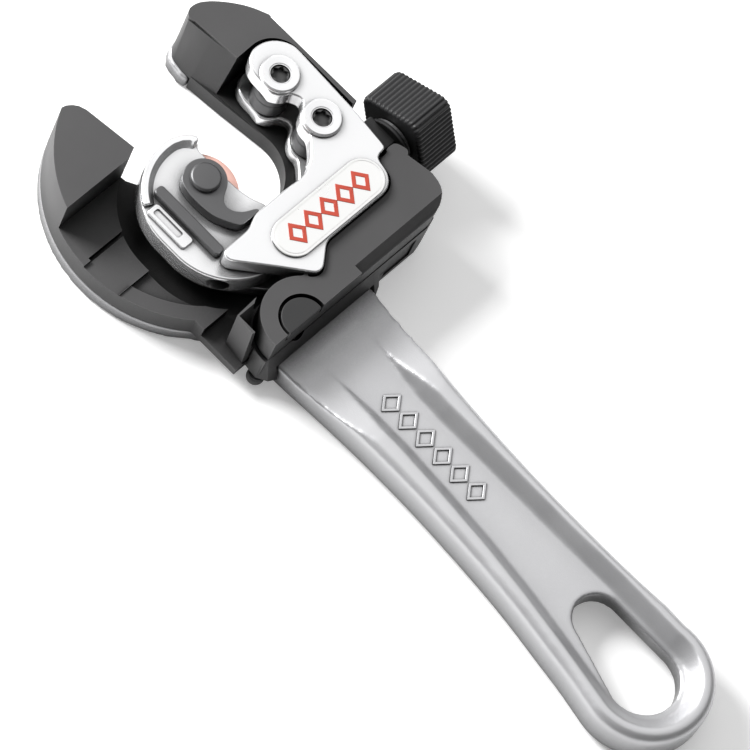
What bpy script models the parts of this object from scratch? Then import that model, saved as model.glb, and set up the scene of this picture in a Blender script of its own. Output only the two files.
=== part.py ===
"""Pipe cutter with a cast handle, modelled piece by piece.

Every separate piece is one named object and one closed solid. The design is
drawn in millimetres: X runs from the jaws to the end of the grip, Y from the
cutting wheel towards the feed knob, and Z from the back plate to the front.
An empty carries the whole tool so that its origin is the centre of the base.
"""

import math

import bmesh
import bpy
from mathutils import Matrix

MM = 0.001

# Overall placement of the drawing origin (centre of the round head).
BASE_CENTRE_X = 82.725
BASE_CENTRE_Y = 12.018

# Casting
HEAD_RADIUS = 41.0
PLATE_TOP = 5.3
GRIP_TOP = 14.0
NECK_TOP = 10.3
WEB_TOP = 10.0
WEB_BOTTOM = 4.0

# Head shell
SHELL_BASE = 5.6
SHELL_FLOOR = 7.0
SHELL_TOP = 25.5
PANEL_TOP = 13.0
LATCH_SEAT = 15.7
SHELL_SCREWS = ((-24.5, -24.0), (-24.0, 36.5), (44.0, 32.0), (19.0, -31.5))

# Tube throat
THROAT_X = 3.2
THROAT_Y = 14.5
THROAT_R = 14.5

# Cutter
FRAME_TOP = 27.0
FRAME_FRONT = 21.3
FRAME_BACK_TOP = 11.8
FRAME_BACK = 7.3
SLIDE_BACK = 13.8
SLIDE_TOP = 21.0
ROLLER_RADIUS = 5.3
ROLLER_AXES = ((-5.2, 34.9), (11.6, 34.6))
WHEEL_X = 3.6
WHEEL_Y = -2.5
WHEEL_RADIUS = 10.8
WHEEL_PLANE = 18.2
SCREW_X = 26.5
SCREW_Z = 17.2
SCREW_RADIUS = 2.2

# Latch
LATCH_BOTTOM = 16.0
LATCH_X = 46.5
LATCH_Y = -11.0

ARC_STEP = 15.0

bpy.ops.object.select_all(action="DESELECT")
for old in list(bpy.data.objects):
    bpy.data.objects.remove(old, do_unlink=True)

scene = bpy.context.scene
tool_collection = bpy.data.collections.new("pipe_cutter")
cutter_collection = bpy.data.collections.new("cutting_shapes")
scene.collection.children.link(tool_collection)
scene.collection.children.link(cutter_collection)


# ---------------------------------------------------------------- materials


def material(name, colour, roughness, metallic):
    """Return a Principled BSDF material."""
    mat = bpy.data.materials.new(name)
    mat.use_nodes = True
    shader = mat.node_tree.nodes["Principled BSDF"]
    shader.inputs["Base Color"].default_value = (*colour, 1.0)
    shader.inputs["Roughness"].default_value = roughness
    shader.inputs["Metallic"].default_value = metallic
    return mat


ALUMINIUM = material("cast_aluminium", (0.62, 0.62, 0.64), 0.38, 1.0)
PLASTIC = material("black_plastic", (0.06, 0.06, 0.062), 0.5, 0.0)
KNOB_PLASTIC = material("knob_plastic", (0.03, 0.03, 0.03), 0.55, 0.0)
CHROME = material("satin_chrome", (0.8, 0.8, 0.82), 0.22, 1.0)
STEEL = material("dark_steel", (0.16, 0.16, 0.165), 0.42, 1.0)
WHEEL_STEEL = material("copper_tinted_steel", (0.72, 0.42, 0.36), 0.3, 1.0)
SPRING_STEEL = material("spring_steel", (0.5, 0.5, 0.52), 0.3, 1.0)
ZINC = material("zinc_screws", (0.6, 0.6, 0.62), 0.35, 1.0)
BADGE = material("badge", (0.8, 0.8, 0.8), 0.3, 1.0)


# ------------------------------------------------------------------ helpers


def arc(cx, cy, radius, start, end, step=ARC_STEP):
    """Points along an arc, with its angles in degrees."""
    count = max(1, math.ceil(abs(end - start) / step))
    points = []
    for i in range(count + 1):
        a = math.radians(start + (end - start) * i / count)
        points.append((cx + radius * math.cos(a), cy + radius * math.sin(a)))
    return points


def rounded(corners, step=22.5):
    """Closed outline through (x, y, radius) corners with rounded turns."""
    outline = []
    count = len(corners)
    for i, (x, y, radius) in enumerate(corners):
        if radius <= 0.0:
            outline.append((x, y))
            continue
        ax, ay = corners[i - 1][0] - x, corners[i - 1][1] - y
        bx, by = corners[(i + 1) % count][0] - x, corners[(i + 1) % count][1] - y
        la, lb = math.hypot(ax, ay), math.hypot(bx, by)
        ax, ay, bx, by = ax / la, ay / la, bx / lb, by / lb
        between = math.acos(max(-1.0, min(1.0, ax * bx + ay * by)))
        reach = min(radius / math.tan(between / 2), 0.48 * la, 0.48 * lb)
        radius = reach * math.tan(between / 2)
        bisect = math.hypot(ax + bx, ay + by)
        depth = radius / math.sin(between / 2)
        cx = x + (ax + bx) / bisect * depth
        cy = y + (ay + by) / bisect * depth
        first = math.atan2(y + ay * reach - cy, x + ax * reach - cx)
        last = math.atan2(y + by * reach - cy, x + bx * reach - cx)
        turn = (last - first + math.pi) % (2 * math.pi) - math.pi
        outline += arc(cx, cy, radius, math.degrees(first), math.degrees(first + turn), step)
    return outline


def finish(obj, name, mat, parent):
    """Name a finished piece, give it its material and its parent."""
    obj.name = name
    obj.data.name = name
    obj.data.materials.clear()
    obj.data.materials.append(mat)
    obj.parent = parent
    for user in list(obj.users_collection):
        user.objects.unlink(obj)
    tool_collection.objects.link(obj)
    return obj


def prism(outline, z0, z1, pivot=(0.0, 0.0, 0.0), merge_caps=True):
    """Solid from a flat outline between two heights, as a mesh object."""
    curve = bpy.data.curves.new("outline", "CURVE")
    curve.dimensions = "2D"
    curve.fill_mode = "BOTH"
    curve.extrude = (z1 - z0) / 2 * MM
    curve.render_resolution_u = 0
    spline = curve.splines.new("POLY")
    spline.points.add(len(outline) - 1)
    for point, (x, y) in zip(spline.points, outline):
        point.co = ((x - pivot[0]) * MM, (y - pivot[1]) * MM, 0.0, 1.0)
    spline.use_cyclic_u = True
    guide = bpy.data.objects.new("outline", curve)
    scene.collection.objects.link(guide)
    bpy.context.view_layer.update()
    depsgraph = bpy.context.evaluated_depsgraph_get()
    mesh = bpy.data.meshes.new_from_object(guide.evaluated_get(depsgraph))
    bpy.data.objects.remove(guide, do_unlink=True)
    lift = Matrix.Translation((0.0, 0.0, ((z0 + z1) / 2 - pivot[2]) * MM))
    mesh.transform(lift)
    return closed_object(mesh, pivot, merge_caps)


def closed_object(mesh, pivot, merge_caps):
    """Weld a mesh, turn its faces outwards and put it at its pivot."""
    bm = bmesh.new()
    bm.from_mesh(mesh)
    bmesh.ops.remove_doubles(bm, verts=bm.verts, dist=0.000001)
    if merge_caps:
        bmesh.ops.dissolve_limit(bm, angle_limit=0.002, verts=bm.verts, edges=bm.edges)
    bmesh.ops.recalc_face_normals(bm, faces=bm.faces)
    bm.to_mesh(mesh)
    bm.free()
    obj = bpy.data.objects.new("piece", mesh)
    obj.location = tuple(c * MM for c in pivot)
    scene.collection.objects.link(obj)
    return obj


def tapered(outline, z0, top, z1):
    """Solid whose outline changes between two heights, point by point."""
    obj = prism(outline, z0, z1)
    middle = (z0 + z1) / 2 * MM
    for vert in obj.data.vertices:
        if vert.co.z < middle:
            continue
        near = [math.hypot(vert.co.x - x * MM, vert.co.y - y * MM) for x, y in outline]
        x, y = top[near.index(min(near))]
        vert.co.x = x * MM
        vert.co.y = y * MM
    return obj


def side_prism(outline, y0, y1):
    """Solid with an (X, Z) outline that reaches from y0 to y1."""
    obj = prism(outline, -y1, -y0)
    for vert in obj.data.vertices:
        x, y, z = vert.co
        vert.co = (x, -z, y)
    return obj


def turned(profile, steps=32, pivot=(0.0, 0.0, 0.0), axis="Z"):
    """Turn a closed (radius, height) profile; it runs down its outer side."""
    mesh = bpy.data.meshes.new("profile")
    bm = bmesh.new()
    verts = [bm.verts.new((r * MM, 0.0, h * MM)) for r, h in profile]
    for i, vert in enumerate(verts):
        bm.edges.new((vert, verts[(i + 1) % len(verts)]))
    bm.to_mesh(mesh)
    bm.free()
    guide = bpy.data.objects.new("profile", mesh)
    scene.collection.objects.link(guide)
    screw = guide.modifiers.new("turn", "SCREW")
    screw.axis = "Z"
    screw.steps = steps
    screw.render_steps = steps
    screw.use_merge_vertices = True
    screw.merge_threshold = 0.00001
    bpy.context.view_layer.update()
    depsgraph = bpy.context.evaluated_depsgraph_get()
    solid = bpy.data.meshes.new_from_object(guide.evaluated_get(depsgraph))
    bpy.data.objects.remove(guide, do_unlink=True)
    if axis == "Y":
        solid.transform(Matrix.Rotation(math.radians(-90.0), 4, "X"))
    if axis == "X":
        solid.transform(Matrix.Rotation(math.radians(90.0), 4, "Y"))
    obj = closed_object(solid, pivot, True)
    obj.data.shade_smooth()
    obj.data.set_sharp_from_angle(angle=math.radians(35.0))
    return obj


def rod(radius, start, end, pivot, axis="Z", steps=24, chamfer=0.0):
    """Solid round bar along an axis through its pivot."""
    profile = [(0.0, end)]
    if chamfer:
        profile += [(radius - chamfer, end), (radius, end - chamfer)]
        profile += [(radius, start + chamfer), (radius - chamfer, start)]
    else:
        profile += [(radius, end), (radius, start)]
    profile.append((0.0, start))
    return turned(profile, steps, pivot, axis)


def box(x0, x1, y0, y1, z0, z1):
    """Plain block between two corners."""
    return prism([(x0, y0), (x1, y0), (x1, y1), (x0, y1)], z0, z1)


def boolean(obj, tool, operation):
    """Join another shape to a piece, or cut it away."""
    modifier = obj.modifiers.new(operation.lower(), "BOOLEAN")
    modifier.operation = operation
    modifier.solver = "EXACT"
    modifier.object = tool
    tool.name = "shape"
    tool.hide_render = True
    tool.display_type = "WIRE"
    for user in list(tool.users_collection):
        user.objects.unlink(tool)
    cutter_collection.objects.link(tool)
    return obj


def cut(obj, *tools):
    """Cut away one or more shapes."""
    for tool in tools:
        boolean(obj, tool, "DIFFERENCE")


def add(obj, *tools):
    """Join one or more shapes."""
    for tool in tools:
        boolean(obj, tool, "UNION")


def settle(obj):
    """Apply the modifiers so far, and merge flat faces that were split."""
    bpy.context.view_layer.update()
    depsgraph = bpy.context.evaluated_depsgraph_get()
    mesh = bpy.data.meshes.new_from_object(obj.evaluated_get(depsgraph))
    obj.modifiers.clear()
    obj.data = mesh
    bm = bmesh.new()
    bm.from_mesh(mesh)
    bmesh.ops.remove_doubles(bm, verts=bm.verts, dist=0.000002)
    bmesh.ops.dissolve_degenerate(bm, edges=bm.edges, dist=0.000002)
    bm.to_mesh(mesh)
    bm.free()
    return obj


def soften(obj, width, segments=2, angle=35.0):
    """Round the sharp edges."""
    modifier = obj.modifiers.new("soften", "BEVEL")
    modifier.width = width * MM
    modifier.segments = segments
    modifier.limit_method = "ANGLE"
    modifier.angle_limit = math.radians(angle)
    modifier.harden_normals = False
    return obj


def coil(mean_radius, wire_radius, start, end, turns, pivot, axis):
    """Closed coil of round wire along an axis through its pivot."""
    per_turn = 12
    count = int(turns * per_turn)
    curve = bpy.data.curves.new("coil", "CURVE")
    curve.dimensions = "3D"
    curve.bevel_depth = wire_radius * MM
    curve.bevel_resolution = 1
    curve.use_fill_caps = True
    curve.render_resolution_u = 0
    spline = curve.splines.new("POLY")
    spline.points.add(count)
    for i in range(count + 1):
        a = 2 * math.pi * i / per_turn
        h = start + (end - start) * i / count
        x = mean_radius * math.cos(a) * MM
        y = mean_radius * math.sin(a) * MM
        spline.points[i].co = (x, y, h * MM, 1.0)
    guide = bpy.data.objects.new("coil", curve)
    scene.collection.objects.link(guide)
    bpy.context.view_layer.update()
    depsgraph = bpy.context.evaluated_depsgraph_get()
    mesh = bpy.data.meshes.new_from_object(guide.evaluated_get(depsgraph))
    bpy.data.objects.remove(guide, do_unlink=True)
    if axis == "Y":
        mesh.transform(Matrix.Rotation(math.radians(-90.0), 4, "X"))
    return closed_object(mesh, pivot, False)


def pivot_empty(name, pivot, parent):
    """Empty on a joint's axis that carries a moving group."""
    empty = bpy.data.objects.new(name, None)
    empty.empty_display_size = 0.01
    scene.collection.objects.link(empty)
    empty.location = tuple(c * MM for c in pivot)
    empty.parent = parent
    return empty


root = pivot_empty("pipe_cutter_base", (0.0, 0.0, 0.0), None)


# ----------------------------------------------------------- handle casting


def head_outer_arc(start, end):
    """Part of the round outer edge of the head."""
    return arc(0.0, 0.0, HEAD_RADIUS, start, end, 7.5)


def grip_outline():
    """Outer outline of the grip with its round end."""
    top = [
        (46.0, 18.4), (52.0, 18.0), (60.0, 17.0), (70.0, 15.8), (80.0, 14.7), (92.0, 13.6),
        (105.0, 12.7), (120.0, 12.0), (135.0, 11.8), (150.0, 11.9), (163.0, 12.3),
    ]
    bottom = [
        (168.0, -23.6), (158.0, -22.2), (146.0, -20.5), (134.0, -19.3), (120.0, -18.4),
        (106.0, -17.8), (92.0, -17.7), (80.0, -18.0), (68.0, -18.6), (56.0, -19.4), (46.0, -19.5),
    ]
    return top + arc(182.5, -6.5, 19.5, 103.0, -108.0, 12.0) + bottom


def trough_outline(spread):
    """Outline of the trough in the grip; spread moves its walls outwards."""
    s = spread
    outline = [(58.0, -10.2 - s), (58.0, 8.2 + s), (68.0, 7.0 + s), (76.0, 5.4 + s)]
    outline += [(84.0, 4.4 + s), (92.0, 4.1 + s), (100.0, 4.2 + s), (120.0, 4.5 + s)]
    outline += [(140.0, 4.6 + s), (160.0, 5.2 + s)]
    outline += arc(182.5, -6.5, 11.6 + s, 100.0, -104.0, 17.0)
    outline += [(162.0, -14.8 - s), (145.0, -12.2 - s), (128.0, -10.2 - s)]
    outline += [(110.0, -8.9 - s), (92.0, -8.0 - s), (80.0, -8.1 - s), (69.0, -9.0 - s)]
    return outline


def hang_slot_outline():
    """Egg-shaped hanging slot."""
    left = arc(162.5, -3.6, 7.4, 91.0, 261.0, 17.0)
    right = arc(182.0, -6.6, 10.4, -99.0, 89.0, 17.0)
    return left + right


def build_casting():
    """Round head plate and grip, cast in one piece."""
    plate_outline = head_outer_arc(207.0, 317.0)
    plate_outline += [(37.4, -22.2), (38.0, -19.5), (47.9, -19.3), (47.9, 43.8), (44.9, 46.3)]
    plate_outline += [(13.0, 46.4), (-18.7, 46.8), (-25.7, 43.6), (-30.7, 39.6)]
    plate_outline += [(-34.7, 35.1), (-36.3, 31.6), (-35.8, 28.2), (-33.4, 25.4)]
    plate_outline += [(-28.0, 24.5), (-25.4, 24.9), (-25.4, 29.6), (-14.0, 29.1)]
    plate_outline += arc(THROAT_X, THROAT_Y, 16.2, 90.0, -80.0)
    plate_outline += [(-8.0, -6.0), (-10.4, -11.8), (-31.7, -14.0), (-35.2, -15.9)]
    casting = prism(plate_outline, 0.0, PLATE_TOP)
    soften(casting, 0.6, 2, 60.0)
    settle(casting)

    grip = prism(grip_outline(), 0.0, GRIP_TOP)
    soften(grip, 2.6, 3, 50.0)
    settle(grip)
    slope = [(30.0, 9.9), (63.0, 9.9), (68.0, 10.3), (73.0, 11.2), (78.0, 12.4), (83.0, 13.5)]
    slope += [(89.0, 14.2), (89.0, 20.0), (30.0, 20.0)]
    slope = prism(slope, -40.0, 40.0)
    slope.data.transform(Matrix.Rotation(math.radians(90.0), 4, "X"))
    front = tapered(trough_outline(0.0), WEB_TOP, trough_outline(4.6), WEB_TOP + 4.6)
    back = tapered(trough_outline(4.6), WEB_BOTTOM - 4.6, trough_outline(0.0), WEB_BOTTOM)
    slot = prism(hang_slot_outline(), -2.0, 20.0)
    cut(grip, slope, front, back, slot)
    settle(grip)
    add(casting, grip)
    for x, y in SHELL_SCREWS:
        cut(casting, rod(1.8, -1.0, 8.0, (x, y, 0.0)), rod(3.3, -1.0, 2.3, (x, y, 0.0)))
    settle(casting)
    return finish(casting, "handle_casting", ALUMINIUM, root)


# --------------------------------------------------------------- head shell


def shell_outline():
    """Outline of the moulded head shell seen from the front."""
    outline = head_outer_arc(207.0, 316.0)
    outline += [(46.3, -28.3), (46.3, -23.3)]
    outline += arc(50.3, -10.7, 13.2, 252.0, 274.0)
    outline += [(51.5, 40.0), (50.6, 43.5), (48.4, 45.9), (45.2, 47.4), (42.0, 47.6)]
    outline += [(-18.7, 47.6), (-25.7, 44.3), (-30.7, 40.3), (-34.7, 35.8), (-36.2, 32.3)]
    outline += [(-35.7, 29.3), (-32.7, 27.8), (-15.7, 30.3), (-14.6, 27.4)]
    outline += arc(THROAT_X, THROAT_Y, THROAT_R, 90.0, -95.0, 12.0)
    outline += [(-8.5, -4.5), (-11.0, -9.6), (-13.7, -11.2), (-31.7, -13.7), (-35.2, -15.7)]
    return outline


def build_shell():
    """One moulding: jaw, floor, upper arm and the seat of the latch."""
    shell = prism(shell_outline(), SHELL_BASE, SHELL_TOP)
    soften(shell, 0.5, 1, 60.0)
    settle(shell)

    skirt_line = [(-25.1, 25.6), (-14.0, 26.8)] + arc(THROAT_X, THROAT_Y, THROAT_R, 97.0, -78.0, 12.0)
    skirt_line += arc(THROAT_X, THROAT_Y, 15.8, -78.0, 90.0, 12.0)
    skirt_line += [(-14.0, 28.7), (-25.1, 29.3)]
    skirt = prism(skirt_line, 0.3, 6.6)
    low_wall = prism([(48.3, 19.2), (51.5, 19.2), (51.5, 40.0), (50.6, 43.5), (48.3, 45.9)], 0.3, 6.6)
    heel = [(45.0, -23.6), (50.6, -24.3), (53.8, -22.4), (55.0, -20.0), (55.0, 19.0), (53.5, 22.0)]
    heel += [(50.5, 23.0), (50.5, -15.0), (45.0, -15.0)]
    heel_top = [(45.0, -23.4), (50.6, -23.8), (51.2, -22.6), (51.4, -20.0), (51.4, 19.0), (51.3, 21.5)]
    heel_top += [(50.5, 22.0), (50.5, -15.0), (45.0, -15.0)]
    nose = [(-35.9, 31.6), (-35.3, 28.9), (-34.2, 27.4), (-32.4, 26.3), (-28.6, 25.6), (-25.0, 25.6)]
    nose += [(-14.2, 27.6), (-14.0, 31.0), (-30.0, 34.0)]
    nose_top = [(-35.6, 31.8), (-35.3, 30.0), (-34.6, 28.9), (-33.8, 28.2), (-30.0, 28.6), (-25.5, 29.2)]
    nose_top += [(-16.2, 30.5), (-15.0, 32.0), (-30.0, 34.0)]
    heel = tapered(heel, SHELL_BASE, heel_top, LATCH_SEAT - 0.3)
    nose = tapered(nose, SHELL_BASE, nose_top, 24.5)
    add(shell, skirt, low_wall, heel, nose)
    settle(shell)

    low_floor = [(-14.0, -70.0), (33.0, -70.0), (33.0, -10.0), (38.9, 0.0), (38.9, 10.0), (-14.0, 5.0)]
    panels = prism(low_floor, PANEL_TOP, 40.0)
    panel_two = box(-1.4, 10.8, -70.0, -20.0, PANEL_TOP - 0.9, 30.0)
    rim = [(10.8, -20.0)] + arc(0.0, 0.0, 36.6, 287.0, 320.0, 8.0) + [(30.0, -14.0)]
    panel_three = prism(rim, 10.6, 30.0)
    outer_three = box(10.9, 33.1, -70.0, -12.0, PANEL_TOP - 0.5, 30.0)
    pocket = arc(8.0, -2.8, 24.9, 150.0, 270.0, 12.0) + arc(14.0, -2.8, 24.9, 270.0, 360.0, 12.0)
    pocket += [(38.9, 30.0), (-10.0, 30.0)]
    floor_cut = prism(pocket, SHELL_FLOOR, 40.0)
    recess = rounded([(-16.9, 45.6, 9.0), (-16.6, 20.0, 0.0), (38.9, 20.0, 0.0), (38.9, 45.6, 0.0)])
    frame_cut = prism(recess, SHELL_FLOOR, 40.0)
    notch = box(13.6, 38.9, 40.0, 60.0, SHELL_FLOOR, 40.0)
    cut(shell, panels, panel_two, panel_three, outer_three, floor_cut, frame_cut, notch)
    settle(shell)

    latch_room = [(28.0, 60.0), (28.0, 37.0), (37.0, 33.0), (37.0, -7.0)]
    latch_room += arc(50.3, -10.7, 13.7, 166.0, 250.0, 12.0)
    latch_room += [(47.0, -60.0), (70.0, -60.0), (70.0, 60.0)]
    latch_cut = prism(latch_room, LATCH_SEAT, 40.0)
    flange = [(32.9, -70.0), (46.4, -70.0), (46.4, -23.4), (41.0, -20.5), (38.0, -14.0)]
    flange += [(38.0, -5.0), (32.9, -5.0)]
    flange_cut = prism(flange, 8.6, 40.0)
    neck = box(43.3, 60.0, -19.9, 18.8, 0.0, NECK_TOP + 0.4)
    cut(shell, latch_cut, flange_cut, neck)
    settle(shell)

    foot = [(36.2, -15.5), (38.9, -24.9), (46.1, -25.8), (46.1, -18.0), (41.0, -11.0)]
    crown = [(37.6, -16.0), (38.1, -24.4), (44.6, -25.2), (45.6, -20.0), (41.0, -14.0)]
    facet = tapered(foot, SHELL_BASE + 0.2, crown, 25.0)
    slope = side_prism([(38.6, 24.8), (45.8, 16.4), (48.0, 16.4), (48.0, 30.0), (38.6, 30.0)], -24.2, -9.0)
    swing = prism(arc(50.3, -10.7, 14.0, 0.0, 348.0, 12.0), LATCH_SEAT, 40.0)
    cut(facet, slope, swing)
    settle(facet)
    add(shell, facet)
    for x, y in SHELL_SCREWS:
        cut(shell, rod(1.8, 4.0, 10.2, (x, y, 0.0), steps=12))
    pin_hole = rod(2.6, 11.0, 20.0, (LATCH_X, LATCH_Y, 0.0))
    spring_room = rod(5.4, 11.6, 20.0, (LATCH_X, LATCH_Y, 0.0))
    plug_hole = rod(1.2, 4.0, 9.6, (49.9, -22.5, 0.0), steps=12)
    cut(shell, pin_hole, spring_room, plug_hole)
    settle(shell)
    return finish(shell, "head_shell", PLASTIC, root)


build_casting()
build_shell()

for number, (sx, sy) in enumerate(SHELL_SCREWS, 1):
    head = [(0.0, 9.8), (1.4, 9.8), (1.4, 2.0), (2.9, 2.0), (2.9, 0.5), (1.3, 0.5)]
    head += [(1.1, 1.4), (0.0, 1.4)]
    finish(turned(head, 20, (sx, sy, 0.0)), "shell_screw_%d" % number, ZINC, root)

plug_profile = [(0.0, 9.2), (0.85, 9.2), (0.85, 5.2), (2.2, 5.2)]
plug_profile += [(2.6 * math.cos(a), 2.9 + 2.6 * math.sin(a)) for a in (0.6, 0.0, -0.5, -1.0)]
plug_profile += [(0.0, 0.3)]
finish(turned(plug_profile, 20, (49.9, -22.5, 0.0)), "barrel_plug", KNOB_PLASTIC, root)

latch_coil = coil(3.9, 0.35, 12.3, 15.1, 2.5, (LATCH_X, LATCH_Y, 0.0), "Z")
finish(latch_coil, "latch_spring", SPRING_STEEL, root)


# -------------------------------------------------------------- latch lever


latch = pivot_empty("latch_axis", (LATCH_X, LATCH_Y, 0.0), root)


def latch_outline():
    """Lever that closes the cutter into the head."""
    outline = [(34.0, 47.8), (31.2, 47.2), (29.6, 46.4), (29.2, 45.2), (29.2, 42.8)]
    outline += [(30.2, 42.6), (30.2, 39.6), (31.4, 38.7)]
    outline += [(34.8, 38.4), (36.6, 37.4), (38.3, 35.4), (38.9, 33.0)]
    outline += [(38.9, 9.9), (41.0, 7.1), (43.3, 4.3), (44.4, 2.2), (43.8, -0.2), (41.9, -1.9)]
    outline += arc(50.3, -10.7, 12.2, 139.0, 262.0, 12.0)
    outline += [(51.2, -22.9), (51.2, 40.0), (50.4, 43.4), (48.3, 45.8), (45.2, 47.3), (42.5, 47.9)]
    return outline


def build_latch():
    """Lever with the seat for its pivot head."""
    lever = prism(latch_outline(), LATCH_BOTTOM, SHELL_TOP, (LATCH_X, LATCH_Y, 0.0))
    soften(lever, 0.45, 2, 60.0)
    settle(lever)
    seat = arc(50.3, -11.0, 6.6, 75.0, 285.0, 15.0)
    seat += [(60.0, -17.4), (60.0, -4.6)]
    cut(lever, prism(seat, SHELL_TOP - 4.3, 40.0), rod(2.5, 10.0, 30.0, (LATCH_X, LATCH_Y, 0.0)))
    strip = prism([(52.5, 25.9), (52.5, 22.6), (50.6, 23.3), (48.0, 25.9)], -45.6, -11.0)
    strip.data.transform(Matrix.Rotation(math.radians(90.0), 4, "X"))
    cut(lever, strip)
    settle(lever)
    lever.location = (0.0, 0.0, 0.0)
    return finish(lever, "latch_lever", PLASTIC, latch)


build_latch()

pivot_head = prism(
    arc(50.3, -11.0, 6.25, 80.0, 280.0, 12.0),
    SHELL_TOP - 4.0, SHELL_TOP - 0.2, (LATCH_X, LATCH_Y, 0.0),
)
soften(pivot_head, 0.4, 1, 60.0)
settle(pivot_head)
add(pivot_head, rod(2.2, 11.3, SHELL_TOP - 3.0, (LATCH_X, LATCH_Y, 0.0)))
settle(pivot_head)
pivot_head.location = (0.0, 0.0, 0.0)
finish(pivot_head, "latch_pivot_pin", KNOB_PLASTIC, latch)


# ------------------------------------------------------------- cutter frame


cutter = pivot_empty("cutter_seat", (0.0, 0.0, 0.0), root)


def frame_outline(ear):
    """Outline of the cutter frame's plates, the front one with an ear."""
    outline = [(-15.0, 39.8), (-12.8, 42.7), (-10.0, 44.4), (-8.0, 44.8), (15.0, 43.9)]
    outline += [(28.2, 42.7), (29.0, 42.2), (29.2, 41.2), (29.4, 39.3), (30.4, 38.3), (33.6, 37.9)]
    outline += [(35.8, 36.9), (37.5, 35.3), (38.5, 32.8)]
    if ear:
        outline += [(38.5, 9.7), (40.4, 7.2), (42.6, 4.5), (43.6, 2.9), (43.6, 1.2), (42.8, 0.0)]
        outline += [(40.0, -2.4)]
    else:
        outline += [(38.5, -3.6)]
    outline += [(36.0, -5.9), (31.0, -10.5)]
    outline += [(26.2, -15.0), (25.1, -15.6), (23.9, -15.6), (22.8, -14.9), (22.4, -13.8)]
    outline += [(22.3, -4.6), (20.9, -1.8), (20.2, 0.2), (20.2, 12.5), (20.6, 17.0), (20.2, 19.6)]
    outline += [(19.2, 21.9), (17.4, 24.6), (14.9, 27.0), (12.8, 28.6)]
    outline += arc(11.6, 34.6, 6.0, 270.0, 200.0, 14.0)
    outline += [(4.9, 34.2), (3.5, 34.8), (2.2, 34.3)]
    outline += arc(-5.2, 34.9, 6.1, 345.0, 290.0, 14.0)
    outline += [(-5.0, 29.6), (-10.6, 29.8), (-13.4, 31.0), (-15.2, 33.2), (-15.8, 36.0)]
    return outline


def build_frame():
    """Front plate, back plate and the bridge and boss between them."""
    front = prism(frame_outline(True), FRAME_FRONT, FRAME_TOP)
    soften(front, 0.9, 2, 60.0)
    settle(front)
    back = prism(frame_outline(False), FRAME_BACK, FRAME_BACK_TOP)
    soften(back, 0.4, 1, 60.0)
    settle(back)
    bridge = [(34.9, 8.0), (38.0, 8.0), (38.0, 32.5), (35.4, 35.6), (33.0, 37.2), (28.8, 38.0)]
    bridge += [(28.4, 42.2), (19.0, 43.0), (19.0, 33.4), (34.9, 33.4)]
    middle = prism(bridge, FRAME_BACK_TOP - 1.0, FRAME_FRONT + 1.0)
    add(front, middle)
    settle(front)
    add(front, back)
    settle(front)
    groove = box(19.0, 22.4, -5.2, 16.5, FRAME_FRONT - 1.0, 23.9)
    screw_bore = rod(2.6, 0.0, 60.0, (SCREW_X, 0.0, SCREW_Z), "Y")
    spring_bore = rod(4.8, 20.0, 37.2, (SCREW_X, 0.0, SCREW_Z), "Y")
    cut(front, groove, screw_bore, spring_bore)
    for x, y in ROLLER_AXES:
        cut(front, rod(2.4, 5.0, 30.0, (x, y, 0.0), steps=20))
    settle(front)
    return finish(front, "cutter_frame", CHROME, cutter)


build_frame()

badge_outline = arc(31.9, 30.55, 6.1, 0.0, 180.0, 15.0) + arc(31.9, 3.05, 6.1, 180.0, 360.0, 15.0)
badge = prism(badge_outline, FRAME_TOP + 0.3, FRAME_TOP + 0.8)
finish(badge, "badge_plate", BADGE, cutter)

for number, (rx, ry) in enumerate(ROLLER_AXES, 1):
    screw_profile = [
        (0.0, 26.2), (1.6, 26.2), (2.0, 26.6), (2.2, 28.0), (3.4, 28.0), (4.6, 28.3), (5.6, 28.0),
        (5.9, 27.3), (2.0, 27.3), (2.0, 7.6), (0.0, 7.6),
    ]
    screw = turned(screw_profile, 28, (rx, ry, 0.0))
    finish(screw, "roller_screw_%d" % number, CHROME, cutter)

    roller_axis = pivot_empty("roller_axis_%d" % number, (rx, ry, 0.0), cutter)
    roller_profile = [
        (2.3, 21.0), (ROLLER_RADIUS - 0.4, 21.0), (ROLLER_RADIUS, 20.6), (ROLLER_RADIUS, 12.5),
        (ROLLER_RADIUS - 0.4, 12.1), (2.3, 12.1),
    ]
    roller = turned(roller_profile, 32, (0.0, 0.0, 0.0))
    finish(roller, "roller_%d" % number, STEEL, roller_axis)

collar_profile = [(0.0, 49.8), (7.4, 49.8), (8.0, 49.2), (8.0, 48.4), (0.0, 48.4)]
collar = turned(collar_profile, 32, (0.0, 0.0, 0.0), "Y")
collar.location = (SCREW_X * MM, 0.0, SCREW_Z * MM)
add(collar, box(18.6, 28.7, 44.3, 48.8, 10.0, 22.2))
cut(collar, rod(2.6, 40.0, 60.0, (SCREW_X, 0.0, SCREW_Z), "Y"))
settle(collar)
finish(collar, "knob_collar", KNOB_PLASTIC, cutter)

feed_coil = coil(3.9, 0.5, 27.2, 36.3, 5.0, (SCREW_X, 0.0, SCREW_Z), "Y")
finish(feed_coil, "feed_spring", SPRING_STEEL, cutter)

seat_profile = [(4.7, 26.3), (4.7, 25.4), (2.6, 25.4), (2.6, 26.3)]
seat_washer = turned(seat_profile, 24, (SCREW_X, 0.0, SCREW_Z), "Y")
finish(seat_washer, "spring_washer", STEEL, cutter)


# ------------------------------------------------------ feed screw and knob


knob_axis = pivot_empty("knob_axis", (SCREW_X, 0.0, SCREW_Z), cutter)

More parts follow.
